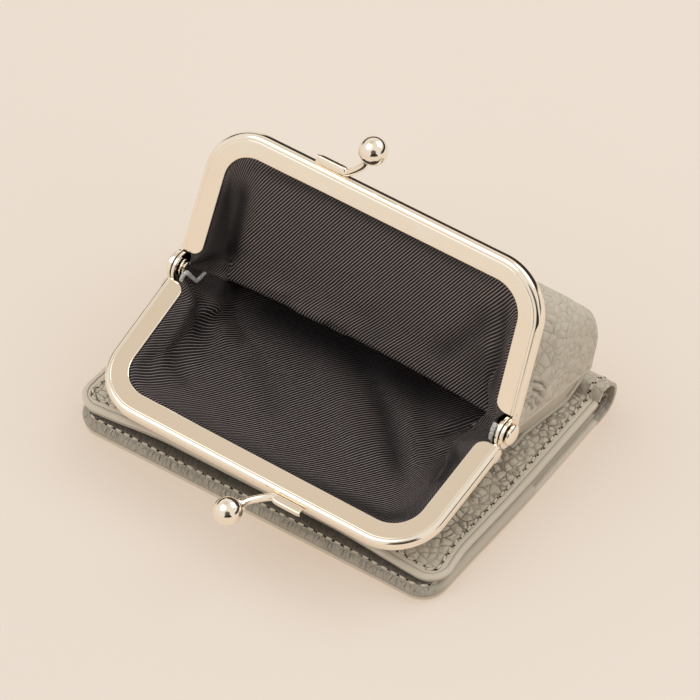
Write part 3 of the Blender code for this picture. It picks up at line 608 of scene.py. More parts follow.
def makePlate(outlines, thickness, easing):
    # a flat plate with eased edges from 2D outlines, the first its edge and the rest holes
    curve = bpy.data.curves.new("plate", 'CURVE')
    curve.dimensions = '2D'
    curve.fill_mode = 'BOTH'
    curve.extrude = thickness / 2 - easing
    curve.bevel_depth = easing
    curve.bevel_resolution = 2
    curve.offset = -easing
    for outline in outlines:
        spline = curve.splines.new('POLY')
        spline.points.add(len(outline) - 1)
        for point, (x, y) in zip(spline.points, outline):
            point.co = (x, y, 0, 1)
        spline.use_cyclic_u = True
    obj = bpy.data.objects.new("plate", curve)
    bpy.context.scene.collection.objects.link(obj)
    bpy.context.view_layer.update()
    mesh = bpy.data.meshes.new_from_object(obj.evaluated_get(bpy.context.evaluated_depsgraph_get()))
    bpy.data.objects.remove(obj, do_unlink=True)
    points = [v.co.copy() for v in mesh.vertices]
    faces = [tuple(p.vertices) for p in mesh.polygons]
    return points, faces


def joinParts(parts):
    points = []
    faces = []
    for morePoints, moreFaces in parts:
        start = len(points)
        points += list(morePoints)
        faces += [tuple(i + start for i in face) for face in moreFaces]
    return points, faces


def makeLug(side, outerX):
    low = -jaw["depth"] - jaw["faceGap"] + jaw["neck"]
    high = -jaw["faceGap"] - jaw["neck"]
    disc = arcPoints(jaw["lugRadius"], math.radians(-5), math.radians(300), 60)
    outline = [(jaw["lugLength"], low), (jaw["lugLength"], high)] + disc
    bore = arcPoints(jaw["bore"], 0, 2 * math.pi, 32)[:-1]
    points, faces = makePlate([outline, bore], jaw["lugSheet"], jaw["lugEasing"])
    middle = side * (outerX - jaw["lugSheet"] / 2)
    stand = Matrix(((0, 0, 1, middle), (1, 0, 0, 0), (0, 1, 0, 0), (0, 0, 0, 1)))
    return placed(points, stand), faces


def makeJoggle(side, outerX):
    outside = jaw["width"] / 2 - jaw["sheet"] / 2
    inside = outerX - jaw["lugSheet"] / 2
    y0, y1 = jaw["start"] + 0.4 * mm, jaw["lugLength"] - 0.4 * mm
    z0, z1 = -jaw["depth"] - jaw["faceGap"] + 0.3 * mm, -jaw["faceGap"] - 0.3 * mm
    points = [Vector((side * x, y, z)) for x in (inside, outside) for y in (y0, y1) for z in (z0, z1)]
    faces = [(0, 1, 3, 2), (4, 6, 7, 5), (0, 4, 5, 1), (2, 3, 7, 6), (0, 2, 6, 4), (1, 5, 7, 3)]
    return points, faces


def metalPiece(name, mesh, place, body, node, sharp):
    points, faces = mesh
    piece = meshObject(name, placed(points, place), faces, gilt, sharp=sharp)
    dress(piece, body, "gilt_metal", node)


def makeJaws():
    outerLug = jaw["width"] / 2 - jaw["lugInset"]
    innerLug = outerLug - jaw["lugSheet"] - seat
    for name, node, place, lugX, body in (
            ("upperJawFrame", "upper_jaw", upperPlace, outerLug, "upper_jaw"),
            ("lowerJawFrame", "lower_jaw", lowerPlace, innerLug, "front_leaf")):
        parts = [makeJawChannel()] + [makeLug(side, lugX) for side in (-1, 1)]
        if body == "front_leaf":
            parts += [makeJoggle(side, lugX) for side in (-1, 1)]
        metalPiece(name, joinParts(parts), place, body, node, 32)


clasp = millimetres(radius=3.8, aside=4.0, out=12.3, lean=3.3, stem=1.0, stemLength=9.2, upperEnd=20.8,
                    lowerEnd=18.3, level=1.5, collarRadius=1.6, collarLength=1.2)


def makeClasps():
    c = clasp
    for label, place, stemEnd, body in (("upper", upperPlace, c["upperEnd"], "upper_jaw"),
                                        ("lower", lowerPlace, c["lowerEnd"], "front_leaf")):
        wall = jaw["reach"] + c["stem"] + seat
        ball = Vector((-c["aside"], jaw["reach"] + c["out"], c["lean"]))
        bend = Vector((c["stemLength"] - stemEnd, wall, -c["level"]))
        throat = bend.lerp(ball, 0.45) + Vector((1.2, -0.4, -0.2)) * mm
        direction = (ball - throat).normalized()
        neck = ball - direction * (c["radius"] + 0.4 * mm)
        path = curvePath([Vector((-stemEnd, wall, -c["level"])), bend - Vector((4.0 * mm, 0, 0)),
                          bend - Vector((1.5 * mm, 0, 0)), bend, throat, neck], 10)

        def barSection(i):
            # squared and broad where it is soldered to the rail, round at the neck
            share = float(smoothStep(i / len(path), 0.30, 0.62))
            power = 0.28 + 0.72 * share
            wide = c["stem"] * (1.12 - 0.12 * share)
            tall = c["stem"] * (1.0 - 0.05 * share)
            if i < 2:
                wide, tall = wide * (0.86 + 0.07 * i), tall * (0.86 + 0.07 * i)
            turns = [2 * math.pi * k / 28 for k in range(28)]
            return [(wide * math.copysign(abs(math.cos(a)) ** power, math.cos(a)),
                     tall * math.copysign(abs(math.sin(a)) ** power, math.sin(a))) for a in turns]

        metalPiece(label + "ClaspStem", sweep(path, barSection), place, body, label + "_clasp_stem", 50)
        seam = math.asin(c["collarRadius"] * 0.8 / c["radius"])
        globe = arcPoints(c["radius"], math.pi / 2, -math.pi / 2 + seam, 40)
        profile = [(r if r > 1e-6 else 0.0, h) for r, h in globe]
        brim = profile[-1][1]
        foot = -c["radius"] - c["collarLength"]
        wide = c["collarRadius"]
        profile += [(wide * 0.86, brim - 0.15 * mm), (wide, brim - 0.4 * mm), (wide * 0.98, foot + 0.3 * mm),
                    (wide * 0.8, foot), (0.0, foot)]
        turn = Matrix.Translation(ball) @ direction.to_track_quat('Z', 'Y').to_matrix().to_4x4()
        metalPiece(label + "ClaspBall", turnedMesh(profile), place @ turn, body, label + "_clasp_ball", 40)


rivet = dict(steps=48, **millimetres(radius=1.2, head=3.0, dome=1.4, clench=2.2, washer=2.8,
                                     washerSheet=0.6))


def makeHingeHardware():
    r = rivet
    outerLug = jaw["width"] / 2 - jaw["lugInset"]
    innerFace = outerLug - 2 * jaw["lugSheet"] - seat
    clenchX = innerFace - 2 * seat - r["washerSheet"]
    headX = outerLug + seat
    for side, label in ((1, "left"), (-1, "right")):
        out = Matrix.Rotation(side * math.pi / 2, 4, 'Y')
        dome = [(r["head"] * c if c > 1e-6 else 0.0, headX + 0.3 * mm + (r["dome"] - 0.3 * mm) * s)
                for c, s in arcPoints(1.0, math.pi / 2, 0.0, 14)]
        profile = dome + [(r["head"] - 0.05 * mm, headX + 0.06 * mm), (r["head"] - 0.2 * mm, headX),
                          (r["radius"], headX), (r["radius"], clenchX), (r["clench"], clenchX),
                          (r["clench"] * 0.95, clenchX - 0.3 * mm), (r["clench"] * 0.75, clenchX - 0.55 * mm),
                          (0.0, clenchX - 0.6 * mm)]
        metalPiece("hingeRivet" + label.title(), turnedMesh(profile, r["steps"]), lowerPlace @ out,
                   "front_leaf", "hinge_rivet_" + label, 35)
        low = innerFace - seat - r["washerSheet"]
        high = low + r["washerSheet"]
        ring = [(jaw["bore"], high), (r["washer"] - 0.1 * mm, high), (r["washer"], high - 0.12 * mm),
                (r["washer"], low + 0.12 * mm), (r["washer"] - 0.1 * mm, low), (jaw["bore"], low)]
        count = r["steps"]
        last = (len(ring) - 1) * count
        points = [Vector((a * math.cos(2 * math.pi * k / count), a * math.sin(2 * math.pi * k / count), h))
                  for a, h in ring for k in range(count)]
        faces = gridFaces(len(ring), count, closed=True)
        faces += [(last + k, last + (k + 1) % count, (k + 1) % count, k) for k in range(count)]
        metalPiece("hingeWasher" + label.title(), (points, faces), lowerPlace @ out, "front_leaf",
                   "hinge_washer_" + label, 35)


makeJaws()
makeClasps()
makeHingeHardware()
print("metal frame made")


def makeStitchTree():
    # a thread dash, or the pair of needle holes at its ends as discs of painted shade, repeated along a path
    tree = bpy.data.node_groups.new("threadRow", 'GeometryNodeTree')
    sockets = {}
    for label, kind in (("Geometry", 'Geometry'), ("Count", 'Int'), ("Length", 'Float'),
                        ("Thickness", 'Float'), ("Slant", 'Float'), ("Holes", 'Bool'),
                        ("Material", 'Material')):
        socket = tree.interface.new_socket(label, in_out='INPUT', socket_type='NodeSocket' + kind)
        sockets[label] = socket.identifier
    tree.interface.new_socket("Geometry", in_out='OUTPUT', socket_type='NodeSocketGeometry')
    given = tree.nodes.new('NodeGroupInput').outputs
    result = tree.nodes.new('NodeGroupOutput').inputs

    def step(kind, settings=None, **inputs):
        return addNode(tree, kind, settings, **inputs).outputs[0]

    line = step('GeometryNodeMeshToCurve', Mesh=given["Geometry"])
    even = step('GeometryNodeResampleCurve', dict(mode='COUNT'), Curve=line, Count=given["Count"])
    above = step('GeometryNodeInputNamedAttribute', dict(data_type='FLOAT_VECTOR'), Name="above")
    tangent = step('GeometryNodeInputTangent')
    turn = step('FunctionNodeAlignRotationToVector', dict(axis='X'), Vector=tangent)
    turn = step('FunctionNodeAlignRotationToVector', dict(axis='Z', pivot_axis='X'), Rotation=turn,
                Vector=above)
    slant = step('ShaderNodeCombineXYZ', Z=given["Slant"])
    turn = step('FunctionNodeRotateRotation', dict(rotation_space='LOCAL'), i0=turn, i1=slant)
    ball = step('GeometryNodeMeshUVSphere', Segments=10, Rings=8, Radius=1.0)
    half = times(tree, given["Length"], 0.5)
    thin = times(tree, given["Thickness"], 0.5)
    shallow = times(tree, thin, 0.35)
    dashSize = step('ShaderNodeCombineXYZ', X=half, Y=thin, Z=thin)
    dash = step('GeometryNodeTransform', Geometry=ball, Scale=dashSize)
    holeSize = step('ShaderNodeCombineXYZ', X=thin, Y=thin, Z=shallow)
    holes = tree.nodes.new('GeometryNodeJoinGeometry')
    for side in (1.12, -1.12):
        place = step('ShaderNodeCombineXYZ', X=times(tree, half, side))
        hole = step('GeometryNodeTransform', Geometry=ball, Scale=holeSize, Translation=place)
        tree.links.new(hole, holes.inputs[0])
    pick = step('GeometryNodeSwitch', dict(input_type='GEOMETRY'), Switch=given["Holes"],
                **{"False": dash, "True": holes.outputs[0]})
    spread = step('GeometryNodeInstanceOnPoints', Points=even, Instance=pick, Rotation=turn)
    real = step('GeometryNodeRealizeInstances', Geometry=spread)
    finish = step('GeometryNodeSetMaterial', Geometry=real, Material=given["Material"])
    tree.links.new(finish, result[0])
    return tree, sockets


stitchTree, stitchSockets = makeStitchTree()
thread = millimetres(length=1.95, thick=0.58, hole=0.66)


def threadRow(path, above, count, holes, slant):
    mesh = bpy.data.meshes.new("threadPath")
    mesh.from_pydata([tuple(p) for p in path], [(i, i + 1) for i in range(len(path) - 1)], [])
    attribute = mesh.attributes.new("above", 'FLOAT_VECTOR', 'POINT')
    attribute.data.foreach_set("vector", np.asarray(above, np.float32).ravel())
    obj = bpy.data.objects.new("threadPath", mesh)
    bpy.context.scene.collection.objects.link(obj)
    modifier = obj.modifiers.new("threadRow", 'NODES')
    modifier.node_group = stitchTree
    values = dict(Count=count + 1, Length=thread["length"], Slant=slant, Holes=holes,
                  Thickness=thread["hole"] if holes else thread["thick"],
                  Material=holeShade if holes else threadFibre)
    for label, value in values.items():
        modifier[stitchSockets[label]] = value
    obj.update_tag()
    bpy.context.view_layer.update()
    made = bpy.data.meshes.new_from_object(obj.evaluated_get(bpy.context.evaluated_depsgraph_get()))
    bpy.data.objects.remove(obj, do_unlink=True)
    return [v.co.copy() for v in made.vertices], [tuple(p.vertices) for p in made.polygons]


def surfaceRow(grid, section, inset, top):
    # the row of a layer's outer surface nearest an inset, with its outward directions
    heights = [z for _, z in section]
    middle = (min(heights) + max(heights)) / 2
    index = min((i for i, z in enumerate(heights) if (z > middle) == top),
                key=lambda i: abs(section[i][0] - inset))
    return grid[index], gridNormals(grid)[index]


def makeStitches(name, seams, place, slant=0.20):
    # seams: (path, outward directions, number of stitches, how far the thread stands out)
    for label, holes, slot, material in (("Thread", False, "lining_cloth", threadFibre),
                                         ("Holes", True, "plain_leather", holeShade)):
        parts = []
        for path, above, count, proud in seams:
            offset = 0.0 if holes else proud
            parts.append(threadRow(np.asarray(path) + np.asarray(above) * offset, above, count, holes, slant))
        points, faces = joinParts(parts)
        piece = meshObject(name + label, points, faces, material)
        place(piece)


# Leaves: each row runs from the back left corner round the free edge to the back right corner
leaf = dict(press=0.13, steps=(60, 14, 160), **millimetres(
    corner=7.0, driftX=-1.2, skewY=0.9, driftStart=5, driftLength=46, lift=1.7, leftLift=0.6,
    setBack=1.1, cornerSetBack=0.9, leftSetBack=-0.4, cornerShiftX=1.1, liftStart=-26, liftLength=16,
    nearCorner=22, farCorner=25, cornerEnd=53, below=-1.2, belowLeft=0.9, stitchInset=3.4,
    stitchPitch=2.85, pressedLine=1.55))


def leafRow(inset, back, steps):
    side = leafHalf - inset
    radius = min(max(leaf["corner"] - inset - 1.3 * max(inset - 1.5 * mm, 0.0), 0.8 * mm), side)
    front = leafFront + inset
    flat = side - radius
    left = [(-side, y) for y in np.linspace(back, front + radius, steps[0], endpoint=False)]
    left += arcPoints(radius, math.pi, 1.5 * math.pi, steps[1], (-flat, front + radius))
    middle = [(x, front) for x in np.linspace(-flat, flat, steps[2] + 1)[1:-1]]
    row = np.array(left + middle + [(-x, y) for x, y in left[::-1]])
    row[:, 1] = np.minimum(row[:, 1], back)
    return row


def settled(points, lifted):
    # how the soft leaves lie: drawn a little aside at the free edge, the top one lifted there
    moved = np.array(points, float)
    x, y = moved[..., 0].copy(), moved[..., 1].copy()
    fade = smoothStep(leaf["driftStart"] - y, 0, leaf["driftLength"])
    near = smoothStep(leaf["liftStart"] - y, 0, leaf["liftLength"])
    nearCorner = smoothStep(x, leaf["nearCorner"], leaf["cornerEnd"])
    farCorner = smoothStep(-x, leaf["farCorner"], leaf["cornerEnd"])
    moved[..., 2] *= 1 - leaf["press"] * near * nearCorner
    moved[..., 0] += leaf["driftX"] * fade
    moved[..., 1] += leaf["skewY"] * x / leafHalf * fade
    if lifted:
        rise = leaf["lift"] + (leaf["leftLift"] - leaf["lift"]) * farCorner
        moved[..., 2] += rise * near * (1 - nearCorner)
        moved[..., 1] += near * (leaf["setBack"] + (leaf["cornerSetBack"] - leaf["setBack"]) * nearCorner
                                 + (leaf["leftSetBack"] - leaf["setBack"]) * farCorner)
        moved[..., 0] += leaf["cornerShiftX"] * near * nearCorner
    else:
        moved[..., 1] += leaf["below"] * near
        moved[..., 0] += leaf["belowLeft"] * near * farCorner
    return moved


def leafSolid(name, node, section, back, material, slot, lifted, steps=leaf["steps"], closedBack=False,
              shape=None, plainBelow=None, channelShade=0.0, edgeShade=0.0):
    # a layer from its section, as (inset, height) pairs from the middle of its underside round to its top
    rows = [leafRow(d, back, steps) for d, z in section]
    grid = np.array([[(x, y, z) for x, y in row] for row, (d, z) in zip(rows, section)])
    seam = leafRow(leaf["stitchInset"], back, steps)
    lengths = lengthsAlong(seam)
    count = round(lengths[-1] / leaf["stitchPitch"])
    across = lengths / lengths[-1] * count
    insets = np.array([d for d, z in section])
    uv = np.stack([np.tile(across, (len(section), 1)),
                   np.tile(((insets - leaf["stitchInset"]) / mm)[:, None], (1, len(across)))], -1)
    plain = np.zeros(grid.shape[:2])
    shade = np.zeros(grid.shape[:2])
    if plainBelow is not None:
        plain[:] = 1 - smoothStep(insets, plainBelow - 0.4 * mm, plainBelow + 0.3 * mm)[:, None]
        # painted shade along the stitch channel, at the layer's outermost edge and in the pressed line
        shade[:] = channelShade * (np.abs(insets - leaf["stitchInset"]) < 0.2 * mm)[:, None]
        shade[:] += edgeShade * (insets < insets.min() + 0.05 * mm)[:, None]
        shade[:] += 1.3 * channelShade * (np.abs(insets - leaf["pressedLine"]) < 0.02 * mm)[:, None]
    if shape is not None:
        grid, plain, shade = shape(grid)
    grid = settled(grid, lifted)
    nRows, nCols = grid.shape[:2]
    faces = gridFaces(nRows, nCols)
    faces.append(tuple(i * nCols for i in range(nRows)))
    faces.append(tuple(i * nCols + nCols - 1 for i in range(nRows))[::-1])
    if closedBack:
        faces += [((nRows - 1) * nCols + j, (nRows - 1) * nCols + j + 1, j + 1, j) for j in range(nCols - 1)]
    piece = meshObject(name, grid.reshape(-1, 3), faces, material, sharp=50, uv=uv.reshape(-1, 2),
                       shares={"plain": plain, "shade": shade})
    bm = bmesh.new()
    bm.from_mesh(piece.data)
    bmesh.ops.remove_doubles(bm, verts=bm.verts, dist=0.000002)
    bmesh.ops.dissolve_degenerate(bm, edges=bm.edges, dist=0.0000005)
    bmesh.ops.recalc_face_normals(bm, faces=bm.faces)
    bm.to_mesh(piece.data)
    bm.free()
    dress(piece, "front_leaf" if lifted else "back_leaf", slot, node)
    return grid


innerInsets = [leafHalf] + [d * mm for d in (46, 36, 26, 18, 12, 8)]


def plateSection(inset, low, high):
    ease = 0.1 * mm
    edge = [(inset + ease, low), (inset, low + ease), (inset, high - ease), (inset + ease, high)]
    return [(d, low) for d in innerInsets] + edge + [(d, high) for d in innerInsets[::-1]]


def coverSection(low, high, groove):
    # a turned hem: a rounded edge, a pressed line inside it and a shallow channel for the stitches
    mid = (low + high) / 2
    half = (high - low) / 2
    edge = [(0.95 * mm - 0.95 * mm * math.cos(a), mid + half * math.sin(a))
            for a in np.linspace(-math.pi / 2, math.pi / 2, 17)]
    inside = [(d, low) for d in innerInsets] + [(5.0 * mm, low)]
    outside = [(1.35 * mm, high), (leaf["pressedLine"], high - groove), (1.80 * mm, high - groove * 0.2),
               (2.4 * mm, high + 0.04 * mm)]
    outside += [(leaf["stitchInset"] + a * mm, high + b * mm) for a, b in (
        (-0.5, -0.01), (-0.15, -0.10), (0.15, -0.10), (0.55, 0), (1.2, 0.05))]
    return inside + edge + outside + [(6.0 * mm, high)] + [(d, high) for d in innerInsets[::-1]]


def innerLayers(layers, lifted, middleSteps):
    # flat layers inside a leaf, with how much painted shade darkens their edges in the gap between the leaves
    for name, node, inset, material, slot, dark in layers:
        low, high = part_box(node)
        leafSolid(name, node, plateSection(inset, low.z, high.z), high.y, material, slot, lifted,
                  steps=(16, 8, middleSteps), plainBelow=1.5 * mm, edgeShade=dark)


def coverStitches(name, grid, section, sign, proud, body):
    path, above = surfaceRow(grid, section, leaf["stitchInset"], sign > 0)
    row = leafRow(leaf["stitchInset"], leafBack, leaf["steps"])
    count = round(float(lengthsAlong(row)[-1]) / leaf["stitchPitch"])
    makeStitches(name, [(path, outwards(above, sign), count, proud)], lambda piece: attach(piece, body))


def makeBackLeaf():
    low, high = (corner.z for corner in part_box("back_cover"))
    section = coverSection(low, high, 0.1 * mm)
    section = [(d, high + low - z) for d, z in section[::-1]]
    grid = leafSolid("backCoverLeather", "back_cover", section, leafBack, coverLeather, "grained_leather",
                     False, plainBelow=2.6 * mm, channelShade=0.42)
    coverStitches("backSeam", grid, section, -1, 0.02 * mm, "back_leaf")
    innerLayers((("billLiningBack", "back_cover_lining", 2.2 * mm, darkCloth, "lining_cloth", 0.30),
                 ("innerPanelBack", "back_inner_panel", 1.0 * mm, innerLeather, "plain_leather", 0.30),
                 ("cardPocketFirst", "back_card_pocket_1", 1.05 * mm, innerLeather, "plain_leather", 0.30),
                 ("cardPocketSecond", "back_card_pocket_2", 1.1 * mm, innerLeather, "plain_leather", 0.30)),
                False, 24)


# the profile is how far in and how high, in millimetres
# faceShade, foldShade and backShade are painted shade: over the curled front, along its bottom fold and
# further in, under the top leaf
facing = dict(seed=11, stitchRow=9, edgeGrain=0.55, faceShade=0.27, foldShade=0.60, backShade=0.62, profile=[
    (0.55, 1.95), (0.25, 1.98), (0.02, 2.20), (-0.10, 2.70), (-0.08, 3.25), (0.15, 3.85), (0.55, 4.25),
    (1.05, 4.48), (1.45, 4.55), (1.75, 4.52), (2.15, 4.66), (2.8, 4.92), (3.8, 5.12), (5.2, 5.17),
    (8.0, 5.175)], **millimetres(mouth=3.0, thick=0.35, wrinkle=0.30, pitch=2.95, spacing=1.0, frontStart=34,
                                frontEnd=41, faceStart=5.3, faceEnd=7.8))


def outwards(directions, sign):
    # directions all turned to the same side, up for +1 and down for -1
    directions = np.array(directions)
    return directions * (sign * np.sign(directions[..., 2:3]))


def wrinkleLine(length, spacing, seed):
    # uneven short creases across an edge: their places along it, depths, widths, slants and lengths
    rng = np.random.RandomState(seed)
    places = np.cumsum(spacing * (0.55 + 0.9 * rng.rand(int(length / spacing * 1.4) + 4)))
    sizes = 0.30 + 0.70 * rng.rand(len(places))
    widths = spacing * (0.08 + 0.07 * rng.rand(len(places)))
    slants = rng.normal(0, 0.30, len(places))
    return places, sizes, widths, slants, rng.rand(len(places))


def makeFacing():
    # the card pocket's face curls down over the edges of the layers under it
    f = facing
    profile = [(d * mm, z * mm) for d, z in f["profile"]]
    middle = np.array(profile)
    out = sideways(middle)
    outer = middle + out * f["thick"] / 2
    inner = middle - out * f["thick"] / 2
    far = [d * mm for d in (12, 18, 26, 36)] + [f["mouth"] - leafFront]
    section = [(d, 5.0 * mm) for d in far[::-1]] + [tuple(p) for p in inner[::-1]] + [tuple(p) for p in outer]
    section += [(d, 5.35 * mm) for d in far]
    steps = (40, 24, 620)
    row = leafRow(1.45 * mm, f["mouth"], steps)
    lengths = lengthsAlong(row)
    places, sizes, widths, slants, falls = wrinkleLine(lengths[-1], f["spacing"], f["seed"])
    frontShare = smoothStep(-row[:, 1], f["frontStart"], f["frontEnd"])

    def shape(grid):
        shaped = grid.copy()
        plain = np.zeros(grid.shape[:2])
        shade = np.zeros(grid.shape[:2])
        for i, (d, z) in enumerate(section):
            nearEdge = 1 - smoothStep(d, f["faceStart"], f["faceEnd"])
            plain[i] = 1 - f["edgeGrain"] * frontShare * nearEdge
            if z < 1.6 * mm:
                continue
            # painted shade on the front, in the bottom fold and above the stitches
            shade[i] = f["faceShade"] * frontShare
            if 2.1 * mm < z < 2.4 * mm and d < 0.5 * mm:
                shade[i] = f["foldShade"]
            if d > 1.5 * mm:
                shade[i] += f["backShade"] * smoothStep(d, 1.5 * mm, 2.3 * mm) * frontShare
            shade[i] *= nearEdge
            dent = np.zeros(len(lengths))
            for p, size, width, slant, fall in zip(places, sizes, widths, slants, falls):
                low = (2.2 + 1.1 * fall) * mm
                reach = smoothStep(z, low, low + 0.8 * mm) * (1 - smoothStep(d, 1.5 * mm, 3.4 * mm))
                dent += size * reach * np.exp(-((lengths - p - slant * (z - 4.0 * mm)) / width) ** 2)
            dent = np.minimum(dent, 1.0) * frontShare
            # creases cut in from the edge and a little down
            shaped[i, :, 1] += f["wrinkle"] * dent * 0.8
            shaped[i, :, 2] -= f["wrinkle"] * dent * 0.4
            # the creases are darkened as painted shade
            shade[i] = np.maximum(shade[i], dent)
        return shaped, plain, shade

    grid = leafSolid("cardPocketFacing", "back_card_pocket_3", section, f["mouth"], noseLeather,
                     "plain_leather", False, steps=steps, closedBack=True, shape=shape)
    index = len(section) - len(far) - len(profile) + f["stitchRow"]
    above = outwards(gridNormals(grid)[index], 1)
    makeStitches("facingSeam", [(grid[index], above, round(lengths[-1] / f["pitch"]), 0.14 * mm)],
                 lambda piece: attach(piece, "back_leaf"), slant=0.04)


def makeFrontLeaf():
    low, high = (corner.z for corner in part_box("front_cover"))
    section = coverSection(low, high, 0.24 * mm)
    grid = leafSolid("frontCoverLeather", "front_cover", section, leafBack, coverLeather, "grained_leather",
                     True, plainBelow=2.9 * mm, channelShade=0.42)
    coverStitches("coverSeam", grid, section, 1, 0.12 * mm, "front_leaf")
    innerLayers((("cardPocketTop", "front_card_pocket", 0.9 * mm, innerLeather, "plain_leather", 0.95),
                 ("innerPanelTop", "front_inner_panel", 0.45 * mm, innerLeather, "plain_leather", 0.25)),
                True, 48)


def loopSection(lowZ, highZ, reach, bulge, start, fullness, steps):
    half = (highZ + bulge - lowZ) / 2
    points = [(start, lowZ)]
    for i in range(1, steps):
        turn = -math.pi / 2 + math.pi * i / steps
        points.append((start + reach * math.cos(turn) ** fullness, lowZ + half + half * math.sin(turn)))
    return points + [(start, highZ)]


def blendToFold(piece):
    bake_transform(piece)


def makeSpine():
    # the leather loops from one cover to the other, and the inner lining makes a smaller loop inside it
    for name, node, material, slot, thick, lowZ, highZ, reach, bulge in (
            ("spineLeather", "spine_cover", loopLeather, "grained_leather", 0.9 * mm, 0.2 * mm, coverTop,
             9.0 * mm, 2.7 * mm),
            ("spineLoopLining", "spine_lining", shadedLoopLining, "plain_leather", 0.5 * mm, 2.8 * mm, 6.8 * mm,
             6.2 * mm, 1.0 * mm)):
        coarse = loopSection(lowZ, highZ, reach, bulge, leafBack + 0.05 * mm, 0.6, 40)
        line = np.array(smoothRows([[(0, y, z)] for y, z in coarse], 2))[:, 0, 1:]
        inward = sideways(line)
        middle = line + inward * thick / 2
        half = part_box(node)[1].x
        xs = np.linspace(-half, half, 60)
        grid = np.array([[(x, y, z) for x in xs] for y, z in middle])
        piece = shell(name, grid, thick, material, sharp=60)
        blendToFold(piece)
        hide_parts(node)
        if node == "spine_cover":
            outer = middle - inward * thick / 2
            seams = []
            for side in (-1, 1):
                path = np.array([(side * (leafHalf - leaf["stitchInset"]), y, z) for y, z in outer])
                above = np.array([(0, -a, -b) for a, b in inward])
                count = round(float(lengthsAlong(path)[-1]) / leaf["stitchPitch"])
                seams.append((path, above, count, 0.12 * mm))
            makeStitches("spineSeam", seams, blendToFold)


# Pouch: sheets through U-shaped stations fanned round the hinge axis
pouch = millimetres(thick=1.0, back=39.3, baseInset=5.5, baseSetBack=2.0, sideInset=0.9, front=32,
                    sideCorner=3.4, baseCorner=4.0, cloth=0.4, liningDepth=12.2, liningInset=9.2,
                    sideStart=8.4, tuck=1.4, heldTo=5.9, lip=7.4, bulge=2.8, archRise=1.9, archDrop=3.5,
                    archTall=6, archHalf=36, archFront=9)
fine = (36, 12, 96)


def jawRows(place, turn, insets, height):
    # rows that lie in a jaw's channel, each so far in from its outer edge
    armEnd = jaw["reach"] - jaw["corner"]
    arm = [pouch["sideStart"] + (armEnd - pouch["sideStart"]) * i / fine[0] for i in range(fine[0])]
    return [[place @ Vector((turn * (x + nx * inset), t + nt * inset, height))
             for x, t, nx, nt in jawPath(arm, fine[1], fine[2])] for inset in insets]


def station(y, z, width, corner, lay):
    slant = math.atan2(-lay, pouch["sideStart"])
    first = math.radians(-jaw["lowerTilt"])
    last = math.pi + math.radians(jaw["upperLift"])
    turn = math.atan2(hinge.z - z, hinge.y - y) % (2 * math.pi)
    fan = first + slant + (turn - first) * (last - first - 2 * slant) / (last - first)
    radius = math.hypot(pouch["sideStart"], lay)
    root = hinge - Vector((0, radius * math.cos(fan), radius * math.sin(fan)))
    out = Vector((hinge.x, y, z)) - root
    reach = out.length
    out.normalize()
    half = width / 2
    corner = min(corner, reach * 0.7)
    armEnd = reach - corner
    right = [(half, armEnd * i / fine[0]) for i in range(fine[0])]
    right += [(half - corner + c, armEnd + s) for c, s in arcPoints(corner, 0, math.pi / 2, fine[1])]
    flat = half - corner
    rail = [(flat - 2 * flat * i / fine[2], reach) for i in range(1, fine[2])]
    outline = right + rail + [(-x, t) for x, t in right[::-1]]
    return [root + Vector((x, 0, 0)) + out * t for x, t in outline]


def stations(lay, wide, rows):
    # each row: a y and millimetres from it, a z and millimetres from it, millimetres wider, corner
    return [station(y + dy * mm, z + dz * mm, wide + dw * mm, corner * mm, lay)
            for y, dy, z, dz, dw, corner in rows]


def toHinge(row, reach, aside, steps, ahead=0.0):
    # carries a row's two ends on to the hinge, or to a place ahead of it in the mouth
    ends = []
    for sign, first in ((1, row[0]), (-1, row[-1])):
        arm = Vector((0, first.y - hinge.y, first.z - hinge.z))
        far = arm.length
        arm.normalize()
        more = []
        for i in range(steps):
            share = i / steps
            x = hinge.x + sign * aside + (first.x - hinge.x - sign * aside) * float(smoothStep(share))
            bowed = mouthWay * (ahead * float(1 - smoothStep(share, 0.0, 0.42)))
            more.append(Vector((x, hinge.y, hinge.z)) + arm * (reach + (far - reach) * share) + bowed)
        ends.append(more)
    return ends[0] + row + ends[1][::-1]


def shifted(row, y, z):
    return [p + Vector((0, y, z)) for p in row]


def clothUV(grid):
    # distances along the cloth from its middle, and down its centre line
    along = arcLengths(grid, 1)
    middle = grid.shape[1] // 2
    u = along[:, middle:middle + 1] - along
    v = lengthsAlong(grid[:, middle])
    return np.stack([u, np.tile(v[:, None], (1, grid.shape[1]))], -1)


# Directions from the hinge: the middle of the bend in the pouch's back, and the middle of its mouth
blendLine, mouthWay = (Vector((0, math.cos(math.radians(turn)), math.sin(math.radians(turn))))
                       for turn in (84, 127))


def blendToJaw(piece):
    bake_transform(piece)


def closed(rows, carried):
    # the leather runs up behind the lugs, except where it is held in a channel
    return [np.array([tuple(q) for q in toHinge(row, 5.0 * mm if i in carried else 7.9 * mm, 50.3 * mm, 4)])
            for i, row in enumerate(rows)]


